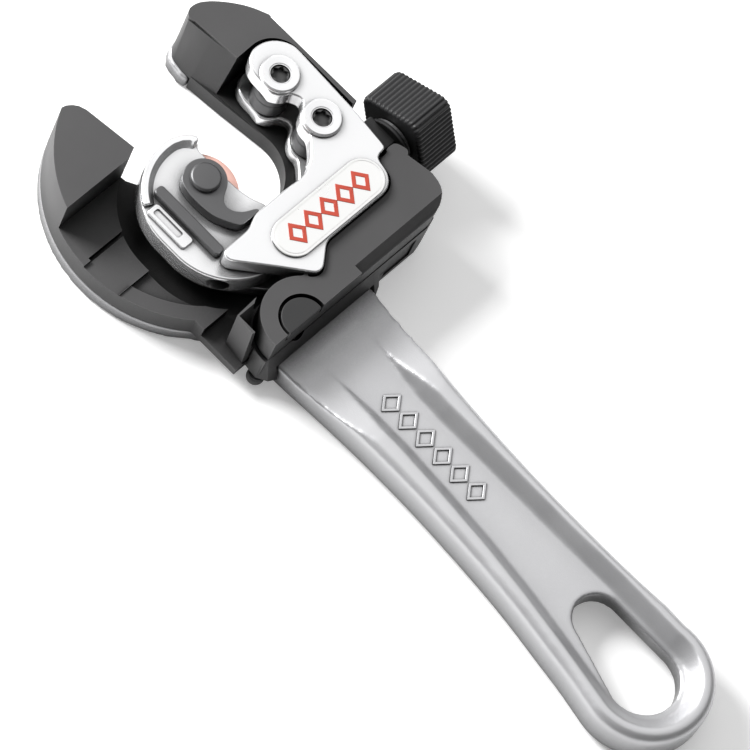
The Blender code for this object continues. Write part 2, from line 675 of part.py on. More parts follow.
thread_profile = [(0.0, 60.2), (SCREW_RADIUS - 0.4, 60.2), (SCREW_RADIUS, 59.8)]
thread_profile += [(SCREW_RADIUS, -6.6), (SCREW_RADIUS - 0.4, -7.0), (0.0, -7.0)]
feed_screw = turned(thread_profile, 24, (0.0, 0.0, 0.0), "Y")
cut(feed_screw, rod(1.2, -6.0, 6.0, (0.0, 56.0, 0.0), "X", 12))
settle(feed_screw)
finish(feed_screw, "feed_screw", STEEL, knob_axis)

washer_profile = [(7.0, 50.75), (7.0, 50.05), (2.6, 50.05), (2.6, 50.75)]
finish(turned(washer_profile, 28, (0.0, 0.0, 0.0), "Y"), "thrust_washer", STEEL, knob_axis)


def build_knob():
    """Rounded square knob turned a little about the screw."""
    half = 10.6
    square = rounded([(-half, -half, 3.4), (half, -half, 3.4), (half, half, 3.4), (-half, half, 3.4)])
    knob = prism(square, 51.05, 65.0)
    soften(knob, 0.9, 2, 60.0)
    settle(knob)
    knob.data.transform(Matrix.Rotation(math.radians(-27.0), 4, "Z"))
    knob.data.transform(Matrix.Rotation(math.radians(-90.0), 4, "X"))
    cut(knob, rod(2.5, 40.0, 60.6, (0.0, 0.0, 0.0), "Y"))
    cut(knob, rod(1.2, -9.6, 20.0, (0.0, 56.0, 0.0), "X", 12))
    settle(knob)
    return finish(knob, "feed_knob", KNOB_PLASTIC, knob_axis)


build_knob()
finish(rod(0.9, -9.2, 9.2, (0.0, 56.0, 0.0), "X", 12), "knob_pin", SPRING_STEEL, knob_axis)


# ------------------------------------------------------------------- slide


slide = pivot_empty("slide_seat", (0.0, 0.0, 0.0), cutter)


def slide_outline():
    """Outline of the sliding wheel carrier."""
    outline = [(-5.0, 4.3), (-6.0, 5.6), (-7.4, 6.3), (-9.2, 5.4), (-10.8, 3.2)]
    outline += arc(8.0, -2.8, 20.2, 172.0, 270.0, 10.0) + arc(14.0, -2.8, 20.2, 270.0, 360.0, 10.0)
    outline += [(34.2, 3.0), (32.6, 6.2), (30.0, 7.2), (18.4, 7.2), (15.4, 5.6), (11.0, 4.6), (4.0, 4.2)]
    return outline


def build_slide():
    """Carrier plate with its rim, its tab and the room for the wheel."""
    body = prism(slide_outline(), SLIDE_BACK, SLIDE_TOP)
    soften(body, 0.5, 1, 60.0)
    settle(body)
    rim = [(-6.6, 5.7), (-7.6, 6.2), (-9.2, 5.1), (-10.7, 2.9)] + arc(8.0, -2.8, 20.0, 172.0, 236.0, 8.0)
    rim += arc(8.0, -2.8, 18.4, 236.0, 172.0, 8.0) + [(-9.4, 2.2), (-8.3, 3.9), (-6.9, 4.6)]
    tab = rounded([(-0.3, -16.3, 0.6), (-0.3, -20.6, 0.6), (14.2, -20.6, 0.6), (14.2, -16.3, 0.6)])
    add(body, prism(rim, SLIDE_TOP - 1.0, 22.4), prism(tab, SLIDE_TOP - 1.0, 21.9))
    settle(body)
    window = rounded([(1.0, -17.3, 0.5), (1.0, -19.5, 0.5), (11.0, -19.5, 0.5), (11.0, -17.3, 0.5)])
    cut(body, prism(window, 21.2, 23.0))
    wheel_room = rod(11.4, WHEEL_PLANE - 1.9, WHEEL_PLANE + 1.9, (WHEEL_X, WHEEL_Y, 0.0), steps=40)
    pin_bore = rod(2.6, SLIDE_BACK + 0.5, 30.0, (WHEEL_X, WHEEL_Y, 0.0))
    screw_bore = rod(2.6, -30.0, 20.0, (SCREW_X, 0.0, SCREW_Z), "Y")
    nut_room = box(SCREW_X - 4.6, SCREW_X + 4.6, -0.3, 5.3, SCREW_Z - 20.0, SCREW_Z + 3.3)
    cut(body, wheel_room, pin_bore, screw_bore)
    settle(body)
    cut(body, nut_room)
    settle(body)
    return finish(body, "slide_body", CHROME, slide)


build_slide()

feed_nut = box(SCREW_X - 4.3, SCREW_X + 4.3, 0.0, 5.0, SLIDE_BACK + 0.1, SCREW_Z + 3.0)
cut(feed_nut, rod(2.45, -30.0, 20.0, (SCREW_X, 0.0, SCREW_Z), "Y"))
settle(feed_nut)
finish(feed_nut, "feed_nut", ZINC, slide)


def arm_outline():
    """Hooked arm that holds the front end of the wheel pin."""
    outline = arc(WHEEL_X, WHEEL_Y, 6.2, 48.0, 215.0, 12.0)
    outline += [(-0.9, -7.3), (1.0, -8.6), (4.7, -9.3), (9.7, -9.2), (13.2, -8.6)]
    outline += [(17.0, -6.7), (19.7, -4.6), (19.7, 2.6), (18.9, 2.4), (17.9, -0.3)]
    outline += [(16.6, -2.3), (14.8, -3.6), (13.0, -3.9)]
    outline += [(11.3, -3.1), (10.1, -1.2), (9.0, 0.9)]
    return outline


arm = prism(arm_outline(), SLIDE_TOP + 0.3, 25.0)
soften(arm, 0.6, 2, 60.0)
settle(arm)
cut(arm, rod(2.7, 10.0, 30.0, (WHEEL_X, WHEEL_Y, 0.0)))
settle(arm)
finish(arm, "wheel_arm", STEEL, slide)

bar_outline = rounded([(-3.2, -12.2, 0.8), (-3.2, -15.6, 0.8), (21.8, -15.6, 0.3), (21.8, -12.2, 0.3)])
bar = prism(bar_outline, SLIDE_TOP + 0.3, 23.5)
soften(bar, 0.5, 2, 60.0)
finish(bar, "slide_bar", STEEL, slide)

wheel_axis = pivot_empty("wheel_axis", (WHEEL_X, WHEEL_Y, WHEEL_PLANE), slide)
wheel_profile = [
    (2.65, 1.55), (5.0, 1.55), (5.3, 1.2), (9.4, 0.75), (WHEEL_RADIUS, 0.08), (WHEEL_RADIUS, -0.08),
    (9.4, -0.75), (5.3, -1.2), (5.0, -1.55), (2.65, -1.55),
]
wheel = turned(wheel_profile, 48, (0.0, 0.0, 0.0))
finish(wheel, "cutter_wheel", WHEEL_STEEL, wheel_axis)

pin_axis = pivot_empty("pin_axis", (WHEEL_X, WHEEL_Y, 0.0), slide)
pin_profile = [
    (0.0, 26.7), (3.9, 26.7), (4.4, 26.2), (4.4, 25.3), (2.35, 25.3), (2.35, 15.0),
    (2.05, 14.7), (0.0, 14.7),
]
wheel_pin = turned(pin_profile, 32, (0.0, 0.0, 0.0))
finish(wheel_pin, "wheel_pin", STEEL, pin_axis)

root.location = (-BASE_CENTRE_X * MM, -BASE_CENTRE_Y * MM, 0.0)
bpy.context.view_layer.update()
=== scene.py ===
import math

import bmesh
import bpy
from mathutils import Matrix, Vector


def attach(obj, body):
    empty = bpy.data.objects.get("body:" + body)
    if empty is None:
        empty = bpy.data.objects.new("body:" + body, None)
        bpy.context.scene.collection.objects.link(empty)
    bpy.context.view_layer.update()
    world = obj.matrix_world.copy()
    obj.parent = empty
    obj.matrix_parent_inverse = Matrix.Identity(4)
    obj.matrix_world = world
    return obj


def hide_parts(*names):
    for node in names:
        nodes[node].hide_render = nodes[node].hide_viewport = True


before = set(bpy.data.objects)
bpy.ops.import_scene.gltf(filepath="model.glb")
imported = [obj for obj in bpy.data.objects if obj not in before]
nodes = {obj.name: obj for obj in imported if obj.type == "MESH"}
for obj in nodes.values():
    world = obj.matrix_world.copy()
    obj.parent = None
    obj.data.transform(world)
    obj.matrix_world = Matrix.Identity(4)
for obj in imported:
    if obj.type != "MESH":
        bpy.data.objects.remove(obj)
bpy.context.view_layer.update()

MM = 0.001

# The drawing is in millimetres from the centre of the round head.
# X runs to the end of the grip, Y to the knob, Z to the front.
CENTRE_X = 82.725
CENTRE_Y = 12.018

HEAD_RADIUS = 41.0
PLATE_TOP = 5.3
GRIP_TOP = 14.0
WEB_TOP = 10.0
WEB_BOTTOM = 4.0
SHELL_BASE = 5.6
SHELL_FLOOR = 7.0
SHELL_TOP = 25.5
PANEL_TOP = 13.0
LATCH_SEAT = 15.7
LATCH_BOTTOM = 16.0
LATCH_X, LATCH_Y = 46.5, -11.0
THROAT_X, THROAT_Y, THROAT_R = 3.2, 14.5, 14.5
FRAME_TOP = 27.0
FRAME_FRONT = 21.3
FRAME_BACK_TOP = 11.8
FRAME_BACK = 7.3
SLIDE_BACK, SLIDE_TOP = 13.8, 21.0
ROLLER_AXES = ((-5.2, 34.9), (11.6, 34.6))
WHEEL_X, WHEEL_Y, WHEEL_PLANE = 3.6, -2.5, 18.2
SCREW_X, SCREW_Z = 26.5, 17.2
SHELL_SCREWS = ((-24.5, -24.0), (-24.0, 36.5), (44.0, 32.0), (19.0, -31.5))
LATCH_END = (50.3, -10.7)
PIN_HEAD = (50.3, -11.0)
SLIDE_LEFT, SLIDE_RIGHT = (8.0, -2.8), (14.0, -2.8)
SLOT_END = (182.5, -6.5)
BADGE_X, BADGE_UPPER_Y, BADGE_LOWER_Y = 31.9, 30.55, 3.05
KNOB_HALF, KNOB_CORNER = 10.75, 3.6
KNOB_BACK, KNOB_FRONT = 52.2, 64.1
KNOB_ANGLE = -27.0
RIB_PITCH, RIB_DEPTH = 1.55, 0.42
PAST = 40.0  # a height above everything, for cutting shapes

scene = bpy.context.scene


# ----------------------------------------------------------------- geometry


def arc(cx, cy, radius, start, end, step=5.0):
    """Points along an arc, with its angles in degrees."""
    count = max(1, math.ceil(abs(end - start) / step))
    points = []
    for i in range(count + 1):
        a = math.radians(start + (end - start) * i / count)
        points.append((cx + radius * math.cos(a), cy + radius * math.sin(a)))
    return points


def eased(outline, reach, rounds=2, share=0.3):
    """Outline with its corners cut back a little, several times."""
    for _ in range(rounds):
        result = []
        count = len(outline)
        for i, (x, y) in enumerate(outline):
            for ox, oy in (outline[i - 1], outline[(i + 1) % count]):
                length = math.hypot(ox - x, oy - y)
                if length < 1e-6:
                    continue
                t = min(reach / length, share)
                result.append((x + (ox - x) * t, y + (oy - y) * t))
        outline = result
        reach *= 0.4
    return outline


def flowing(points, steps=4):
    """Open line through the points, as a smooth curve."""
    result = []
    for i in range(len(points) - 1):
        p0 = points[max(i - 1, 0)]
        p1, p2 = points[i], points[i + 1]
        p3 = points[min(i + 2, len(points) - 1)]
        for k in range(steps):
            t = k / steps
            weights = (
                -0.5 * t + t * t - 0.5 * t ** 3,
                1.0 - 2.5 * t * t + 1.5 * t ** 3,
                0.5 * t + 2.0 * t * t - 1.5 * t ** 3,
                -0.5 * t * t + 0.5 * t ** 3,
            )
            x = sum(w * p[0] for w, p in zip(weights, (p0, p1, p2, p3)))
            y = sum(w * p[1] for w, p in zip(weights, (p0, p1, p2, p3)))
            result.append((x, y))
    result.append(points[-1])
    return result


def new_object(mesh):
    """Object of a mesh, at the origin."""
    obj = bpy.data.objects.new("piece", mesh)
    scene.collection.objects.link(obj)
    return obj


def evaluated(obj):
    """Mesh of an object with its modifiers."""
    bpy.context.view_layer.update()
    depsgraph = bpy.context.evaluated_depsgraph_get()
    return bpy.data.meshes.new_from_object(obj.evaluated_get(depsgraph))


def settle(obj):
    """Apply an object's modifiers."""
    mesh = evaluated(obj)
    obj.modifiers.clear()
    obj.data = mesh
    return obj


def cleaned(mesh):
    """Weld a mesh and turn its faces outwards."""
    bm = bmesh.new()
    bm.from_mesh(mesh)
    bmesh.ops.remove_doubles(bm, verts=bm.verts, dist=0.000001)
    bmesh.ops.recalc_face_normals(bm, faces=bm.faces)
    bm.to_mesh(mesh)
    bm.free()
    return mesh


def prism(outline, z0, z1, centred=False):
    """Solid from a flat outline between two heights."""
    cx, cy = (0.0, 0.0) if centred else (CENTRE_X, CENTRE_Y)
    bm = bmesh.new()
    verts = [bm.verts.new(((x - cx) * MM, (y - cy) * MM, z0 * MM)) for x, y in outline]
    face = bm.faces.new(verts)
    raised = bmesh.ops.extrude_face_region(bm, geom=[face])["geom"]
    for vert in raised:
        if isinstance(vert, bmesh.types.BMVert):
            vert.co.z = z1 * MM
    bmesh.ops.recalc_face_normals(bm, faces=bm.faces)
    mesh = bpy.data.meshes.new("prism")
    bm.to_mesh(mesh)
    bm.free()
    return new_object(mesh)


def tapered(outline, z0, top, z1):
    """Solid between two outlines with as many points."""
    obj = prism(outline, z0, z1)
    for vert in obj.data.vertices:
        if abs(vert.co.z - z1 * MM) > 1e-6:
            continue
        gaps = []
        for x, y in outline:
            gaps.append(math.hypot(vert.co.x - (x - CENTRE_X) * MM, vert.co.y - (y - CENTRE_Y) * MM))
        near = gaps.index(min(gaps))
        vert.co.x = (top[near][0] - CENTRE_X) * MM
        vert.co.y = (top[near][1] - CENTRE_Y) * MM
    return obj


def pillow(outline, z0, z1, radius, steps=5):
    """Solid from a smooth outline with its front and back edges rounded."""
    loops = []
    count = len(outline)
    area = 0.0
    for i, (x, y) in enumerate(outline):
        px, py = outline[i - 1]
        area += x * py - px * y
    side = 1.0 if area < 0 else -1.0
    for k in range(2 * steps + 2):
        lower = k <= steps
        a = math.radians(90.0 * (steps - k) / steps if lower else 90.0 * (k - steps - 1) / steps)
        z = z0 + radius - radius * math.sin(a) if lower else z1 - radius + radius * math.sin(a)
        inset = radius * (1.0 - math.cos(a))
        loop = []
        for i, (x, y) in enumerate(outline):
            px, py = outline[i - 1]
            nx, ny = outline[(i + 1) % count]
            tx, ty = nx - px, ny - py
            length = math.hypot(tx, ty)
            loop.append((x - side * ty / length * inset, y + side * tx / length * inset, z))
        loops.append(loop)
    bm = bmesh.new()
    rings = []
    for loop in loops:
        ring = []
        for x, y, z in loop:
            ring.append(bm.verts.new(((x - CENTRE_X) * MM, (y - CENTRE_Y) * MM, z * MM)))
        rings.append(ring)
    for low, high in zip(rings, rings[1:]):
        for i in range(count):
            bm.faces.new((low[i - 1], low[i], high[i], high[i - 1]))
    bm.faces.new(rings[0])
    bm.faces.new(rings[-1])
    bmesh.ops.recalc_face_normals(bm, faces=bm.faces)
    mesh = bpy.data.meshes.new("pillow")
    bm.to_mesh(mesh)
    bm.free()
    return new_object(mesh)


def side_prism(profile, y0, y1):
    """Solid from an (x, z) profile, between two Y positions."""
    obj = prism(profile, -y1, -y0, centred=True)
    obj.data.transform(Matrix.Rotation(math.radians(90.0), 4, "X"))
    obj.data.transform(Matrix.Translation((-CENTRE_X * MM, -CENTRE_Y * MM, 0.0)))
    return obj


def turned(profile, x, y, z=0.0, axis="Z", steps=64):
    """Turn a closed (radius, height) profile about Z, or about Y through (x, z)."""
    mesh = bpy.data.meshes.new("profile")
    bm = bmesh.new()
    verts = [bm.verts.new((r * MM, 0.0, h * MM)) for r, h in profile]
    for i, vert in enumerate(verts):
        bm.edges.new((vert, verts[(i + 1) % len(verts)]))
    bm.to_mesh(mesh)
    bm.free()
    guide = new_object(mesh)
    screw = guide.modifiers.new("turn", "SCREW")
    screw.axis = "Z"
    screw.steps = steps
    screw.render_steps = steps
    screw.use_merge_vertices = True
    screw.merge_threshold = 0.00001
    solid = cleaned(evaluated(guide))
    bpy.data.objects.remove(guide, do_unlink=True)
    if axis == "Y":
        solid.transform(Matrix.Rotation(math.radians(-90.0), 4, "X"))
        solid.transform(Matrix.Translation(((x - CENTRE_X) * MM, -CENTRE_Y * MM, z * MM)))
    else:
        solid.transform(Matrix.Translation(((x - CENTRE_X) * MM, (y - CENTRE_Y) * MM, z * MM)))
    return new_object(solid)


def hole(radius, z0, z1, x, y, steps=48):
    """Round cutting shape along Z."""
    return turned([(0.0, z1), (radius, z1), (radius, z0), (0.0, z0)], x, y, steps=steps)


def hole_y(radius, y0, y1, steps=48):
    """Round cutting shape along the feed screw."""
    profile = [(0.0, y1), (radius, y1), (radius, y0), (0.0, y0)]
    return turned(profile, SCREW_X, 0.0, SCREW_Z, "Y", steps)


def block(x0, x1, y0, y1, z0, z1):
    """Plain cutting block."""
    return prism([(x0, y0), (x1, y0), (x1, y1), (x0, y1)], z0, z1)


def combine(obj, operation, tools):
    """Boolean with several shapes, applied one after another."""
    for tool in tools:
        modifier = obj.modifiers.new("shape", "BOOLEAN")
        modifier.operation = operation
        modifier.solver = "MANIFOLD"
        modifier.object = tool
        settle(obj)
        bpy.data.objects.remove(tool, do_unlink=True)
    bm = bmesh.new()
    bm.from_mesh(obj.data)
    bmesh.ops.remove_doubles(bm, verts=bm.verts, dist=0.000003)
    bmesh.ops.dissolve_degenerate(bm, edges=bm.edges, dist=0.000003)
    bm.to_mesh(obj.data)
    bm.free()
    return obj


def cut(obj, *tools):
    """Cut shapes away."""
    return combine(obj, "DIFFERENCE", tools)


def add(obj, *tools):
    """Join shapes."""
    return combine(obj, "UNION", tools)


def soften(obj, width, segments=3, angle=35.0):
    """Round the sharp edges."""
    modifier = obj.modifiers.new("soften", "BEVEL")
    modifier.width = width * MM
    modifier.segments = segments
    modifier.limit_method = "ANGLE"
    modifier.angle_limit = math.radians(angle)
    modifier.use_clamp_overlap = True
    return settle(obj)


def remeshed(obj, voxel, smooth_steps, ratio=1.0):
    """Even skin over a solid, with its edges melted as on a casting."""
    remesh = obj.modifiers.new("skin", "REMESH")
    remesh.mode = "VOXEL"
    remesh.voxel_size = voxel * MM
    remesh.use_smooth_shade = True
    smooth = obj.modifiers.new("melt", "SMOOTH")
    smooth.factor = 0.5
    smooth.iterations = smooth_steps
    if ratio < 1.0:
        thin = obj.modifiers.new("thin", "DECIMATE")
        thin.ratio = ratio
    return settle(obj)


def shaded(obj, angle=30.0):
    """Smooth shading with sharp corners kept."""
    obj.data.shade_smooth()
    obj.data.set_sharp_from_angle(angle=math.radians(angle))
    even = obj.modifiers.new("even", "WEIGHTED_NORMAL")
    even.keep_sharp = True
    even.weight = 70
    return settle(obj)


# ---------------------------------------------------------------- materials


def node(tree, kind, **values):
    """New shader node with its settings."""
    made = tree.nodes.new(kind)
    for key, value in values.items():
        setattr(made, key, value)
    return made


def finish_material(
    name, base, rough, metallic, grain, depth, tint, rough_spread,
    wear=None, streak=None, hollow=None, gloss=0.5,
):
    """Procedural surface with grain, patchy roughness and worn edges, with painted shade darkening its
    colour in hollows, corners and under parts when hollow is given.
    """
    mat = bpy.data.materials.new(name)
    mat.use_nodes = True
    tree = mat.node_tree
    shader = tree.nodes["Principled BSDF"]
    shader.inputs["Metallic"].default_value = metallic
    shader.inputs["Specular IOR Level"].default_value = gloss
    where = node(tree, "ShaderNodeTexCoord")
    mapping = node(tree, "ShaderNodeMapping")
    tree.links.new(where.outputs["Object"], mapping.inputs["Vector"])
    if streak:
        mapping.inputs["Scale"].default_value = streak

    fine = node(tree, "ShaderNodeTexNoise")
    fine.inputs["Scale"].default_value = grain
    fine.inputs["Detail"].default_value = 4.0
    fine.inputs["Roughness"].default_value = 0.62
    tree.links.new(mapping.outputs["Vector"], fine.inputs["Vector"])
    bump = node(tree, "ShaderNodeBump")
    bump.inputs["Strength"].default_value = 0.55
    bump.inputs["Distance"].default_value = depth * MM
    tree.links.new(fine.outputs["Fac"], bump.inputs["Height"])
    tree.links.new(bump.outputs["Normal"], shader.inputs["Normal"])

    patch = node(tree, "ShaderNodeTexNoise")
    patch.inputs["Scale"].default_value = 55.0
    patch.inputs["Detail"].default_value = 5.0
    tree.links.new(where.outputs["Object"], patch.inputs["Vector"])
    spread = node(tree, "ShaderNodeMapRange")
    spread.inputs["From Min"].default_value = 0.3
    spread.inputs["From Max"].default_value = 0.7
    spread.inputs["To Min"].default_value = rough - rough_spread
    spread.inputs["To Max"].default_value = rough + rough_spread
    tree.links.new(patch.outputs["Fac"], spread.inputs["Value"])
    tree.links.new(spread.outputs["Result"], shader.inputs["Roughness"])

    colour = node(tree, "ShaderNodeMix", data_type="RGBA")
    colour.inputs["A"].default_value = (*base, 1.0)
    colour.inputs["B"].default_value = (*tint, 1.0)
    tree.links.new(patch.outputs["Fac"], colour.inputs["Factor"])
    last = colour.outputs["Result"]

    if wear:
        geometry = node(tree, "ShaderNodeNewGeometry")
        rounded_edge = node(tree, "ShaderNodeBevel", samples=4)
        rounded_edge.inputs["Radius"].default_value = 0.45 * MM
        dot = node(tree, "ShaderNodeVectorMath", operation="DOT_PRODUCT")
        tree.links.new(rounded_edge.outputs["Normal"], dot.inputs[0])
        tree.links.new(geometry.outputs["Normal"], dot.inputs[1])
        edge = node(tree, "ShaderNodeMapRange")
        edge.inputs["From Min"].default_value = 0.995
        edge.inputs["From Max"].default_value = 0.90
        edge.inputs["To Min"].default_value = 0.0
        edge.inputs["To Max"].default_value = wear[1]
        tree.links.new(dot.outputs["Value"], edge.inputs["Value"])
        broken = node(tree, "ShaderNodeMath", operation="MULTIPLY")
        tree.links.new(edge.outputs["Result"], broken.inputs[0])
        tree.links.new(patch.outputs["Fac"], broken.inputs[1])
        worn = node(tree, "ShaderNodeMix", data_type="RGBA")
        worn.inputs["B"].default_value = (*wear[0], 1.0)
        tree.links.new(broken.outputs["Value"], worn.inputs["Factor"])
        tree.links.new(last, worn.inputs["A"])
        last = worn.outputs["Result"]
    # Painted shade: ambient occlusion darkens the base colour in hollows, corners and where parts crowd
    # together. hollow is (distance, darkest level, occlusion where the darkening starts).
    if hollow:
        shade = node(tree, "ShaderNodeAmbientOcclusion", samples=8)
        shade.inputs["Distance"].default_value = hollow[0] * MM
        painted_shade_level = node(tree, "ShaderNodeMapRange")
        painted_shade_level.inputs["From Min"].default_value = hollow[2]
        painted_shade_level.inputs["From Max"].default_value = 0.95
        painted_shade_level.inputs["To Min"].default_value = hollow[1]
        painted_shade_level.inputs["To Max"].default_value = 1.0
        tree.links.new(shade.outputs["AO"], painted_shade_level.inputs["Value"])
        scaled = node(tree, "ShaderNodeVectorMath", operation="SCALE")
        tree.links.new(last, scaled.inputs[0])
        tree.links.new(painted_shade_level.outputs["Result"], scaled.inputs["Scale"])
        last = scaled.outputs["Vector"]
    tree.links.new(last, shader.inputs["Base Color"])
    return mat


# Painted shade on the handle: its hollow darkens the neck beside the head and the walls of the trough.
ALUMINIUM = finish_material(
    "cast_aluminium", (0.56, 0.56, 0.575), 0.38, 0.62, 2600.0, 0.07, (0.64, 0.64, 0.65), 0.06,
    hollow=(22.0, 0.05, 0.48),
)
# Painted shade on the moulding: its hollow darkens the inner floor of the jaw and the walls in the shade
# of the jaw and the arm.
PLASTIC = finish_material(
    "black_plastic", (0.066, 0.065, 0.066), 0.47, 0.0, 3200.0, 0.03, (0.084, 0.083, 0.084), 0.06,
    wear=((0.18, 0.18, 0.18), 0.5), hollow=(26.0, 0.03, 0.42), gloss=0.22,
)
# Painted shade on the knob: its hollow darkens the ribs and the collar under the knob.
KNOB = finish_material(
    "knob_plastic", (0.022, 0.022, 0.023), 0.5, 0.0, 3600.0, 0.04, (0.032, 0.032, 0.033), 0.07,
    wear=((0.08, 0.08, 0.08), 0.5), hollow=(9.0, 0.02, 0.4), gloss=0.35,
)
# Painted shade on the chrome: its hollow darkens the back plate between the rollers and the walls beside
# the moulding.
CHROME = finish_material(
    "satin_chrome", (0.82, 0.82, 0.83), 0.24, 0.74, 1800.0, 0.006, (0.89, 0.89, 0.895), 0.04,
    streak=(1.0, 0.25, 1.0), hollow=(7.0, 0.1, 0.3),
)
STEEL = finish_material(
    "dark_steel", (0.115, 0.115, 0.118), 0.46, 0.85, 2600.0, 0.025, (0.16, 0.16, 0.162), 0.07,
    wear=((0.34, 0.34, 0.35), 0.6),
)
# Painted shade on the rollers: its hollow darkens them between the plates of the frame.
ROLLER = finish_material(
    "roller_steel", (0.075, 0.075, 0.078), 0.4, 0.7, 1500.0, 0.012, (0.105, 0.105, 0.108), 0.05,
    streak=(1.0, 1.0, 0.2), hollow=(8.0, 0.1, 0.3),
)
WHEEL = finish_material(
    "wheel_steel", (0.80, 0.47, 0.40), 0.36, 0.45, 1800.0, 0.01, (0.86, 0.55, 0.48), 0.05
)
SPRING = finish_material(
    "spring_steel", (0.46, 0.46, 0.47), 0.3, 1.0, 1500.0, 0.01, (0.56, 0.56, 0.57), 0.06
)
ZINC = finish_material(
    "zinc_plate", (0.55, 0.55, 0.57), 0.34, 1.0, 1500.0, 0.02, (0.66, 0.66, 0.67), 0.08
)
# Painted shade: a near-black material for the bottom of the star sockets, where only shade falls, with
# more shade painted in by its hollow.
PAINTED_SOCKET_SHADE = finish_material(
    "painted_socket_shade", (0.05, 0.05, 0.05), 0.5, 0.1, 1500.0, 0.02, (0.075, 0.075, 0.075), 0.08,
    hollow=(3.0, 0.1, 0.3),
)
MOTIF_RED = finish_material(
    "red_enamel", (0.42, 0.055, 0.033), 0.4, 0.0, 1600.0, 0.012, (0.5, 0.075, 0.045), 0.06,
    wear=((0.3, 0.05, 0.03), 0.6), gloss=0.3,
)
LATCH_PIN = finish_material(
    "pin_plastic", (0.016, 0.016, 0.0165), 0.42, 0.0, 3200.0, 0.03, (0.024, 0.024, 0.0245), 0.06,
    wear=((0.1, 0.1, 0.1), 0.5),
)
BADGE = finish_material(
    "badge_plate", (0.82, 0.82, 0.81), 0.3, 0.7, 1800.0, 0.01, (0.88, 0.88, 0.87), 0.04
)


def dress(obj, name, mat, body, slot, *stands_for):
    """Name a piece, give it its material and tie it to its body."""
    obj.name = name
    obj.data.name = name
    obj.data.materials.clear()
    obj.data.materials.append(mat)
    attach(obj, body)
    if stands_for:
        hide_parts(*stands_for)
    return obj


# ----------------------------------------------------------- handle casting


def grip_outline():
    """Outer outline of the grip with its round end."""
    top = [
        (44.0, 18.5), (52.0, 18.0), (60.0, 17.0), (70.0, 15.8), (80.0, 14.7), (92.0, 13.6),
        (105.0, 12.7), (120.0, 12.0), (135.0, 11.8), (150.0, 11.9), (163.0, 12.3), (172.0, 12.9),
    ]
    bottom = [
        (174.0, -24.7), (168.0, -23.6), (158.0, -22.2), (146.0, -20.5), (134.0, -19.3), (120.0, -18.4),
        (106.0, -17.8), (92.0, -17.7), (80.0, -18.0), (68.0, -18.6), (56.0, -19.4), (44.0, -19.5),
    ]
    end = arc(*SLOT_END, 19.5, 100.0, -104.0, 5.0)
    return flowing(top, 3) + end + flowing(bottom, 3)


def trough_outline(spread):
    """Outline of the trough in the grip; spread moves its walls outwards."""
    s = spread
    outline = [(58.0, -10.2 - s), (58.0, 8.2 + s), (68.0, 7.0 + s), (76.0, 5.4 + s)]
    outline += [(84.0, 4.4 + s), (92.0, 4.1 + s), (100.0, 4.2 + s), (120.0, 4.5 + s)]
    outline += [(140.0, 4.6 + s), (160.0, 5.2 + s)]
    outline += arc(*SLOT_END, 11.6 + s, 100.0, -104.0, 8.0)
    outline += [(162.0, -14.8 - s), (145.0, -12.2 - s), (128.0, -10.2 - s)]
    outline += [(110.0, -8.9 - s), (92.0, -8.0 - s), (80.0, -8.1 - s), (69.0, -9.0 - s)]
    return outline


def build_casting():
    """Round head plate and grip, cast in one piece."""
    outline = arc(0.0, 0.0, HEAD_RADIUS, 207.0, 317.0, 3.0)
    outline += [(37.4, -22.2), (38.0, -19.5), (47.9, -19.3), (47.9, 43.8), (44.9, 46.3)]
    outline += [(13.0, 46.4), (-18.7, 46.8), (-25.7, 43.6), (-30.7, 39.6)]
    outline += [(-34.7, 35.1), (-36.3, 31.6), (-35.8, 28.2), (-33.4, 25.4)]
    outline += [(-28.0, 24.5), (-25.4, 24.9), (-25.4, 29.6), (-14.0, 29.1)]
    outline += arc(THROAT_X, THROAT_Y, 16.2, 90.0, -80.0)
    outline += [(-8.0, -6.0), (-10.4, -11.8), (-31.7, -14.0), (-35.2, -15.9)]
    casting = prism(outline, 0.0, PLATE_TOP)

    grip = pillow(grip_outline(), 0.0, GRIP_TOP, 3.0)
    slope = [(30.0, 10.1), (63.0, 10.1), (68.0, 10.4), (73.0, 11.2), (78.0, 12.4), (83.0, 13.5)]
    slope += [(89.0, 14.2), (89.0, 20.0), (30.0, 20.0)]
    slope = side_prism(slope, -60.0, 60.0)
    front = tapered(trough_outline(0.0), WEB_TOP, trough_outline(4.6), WEB_TOP + 4.6)
    back = tapered(trough_outline(4.6), WEB_BOTTOM - 4.6, trough_outline(0.0), WEB_BOTTOM)
    left = arc(162.5, -3.6, 7.4, 91.0, 261.0, 6.0)
    right = arc(182.0, -6.6, 10.4, -99.0, 89.0, 6.0)
    cut(grip, slope, front, back, prism(left + right, -2.0, 20.0))
    add(casting, grip)
    for x, y in SHELL_SCREWS:
        cut(casting, hole(1.8, -1.0, 8.0, x, y), hole(3.3, -1.0, 2.3, x, y))
    remeshed(casting, 0.6, 6, 0.5)
    slot = "cast_aluminium"
    return dress(casting, "cast_handle", ALUMINIUM, "head_and_handle", slot, "handle_casting")


def diamond_ring(cx, cy, half_x, half_y, wall, z0, z1):
    """Raised hollow diamond."""
    outer = [(cx + half_x, cy), (cx, cy + half_y), (cx - half_x, cy), (cx, cy - half_y)]
    k = 1.0 - wall / min(half_x, half_y)
    inner = [(cx + half_x * k, cy), (cx, cy + half_y * k)]
    inner += [(cx - half_x * k, cy), (cx, cy - half_y * k)]
    ring = prism(outer, z0, z1)
    return cut(ring, prism(inner, z0 - 1.0, z1 + 1.0))


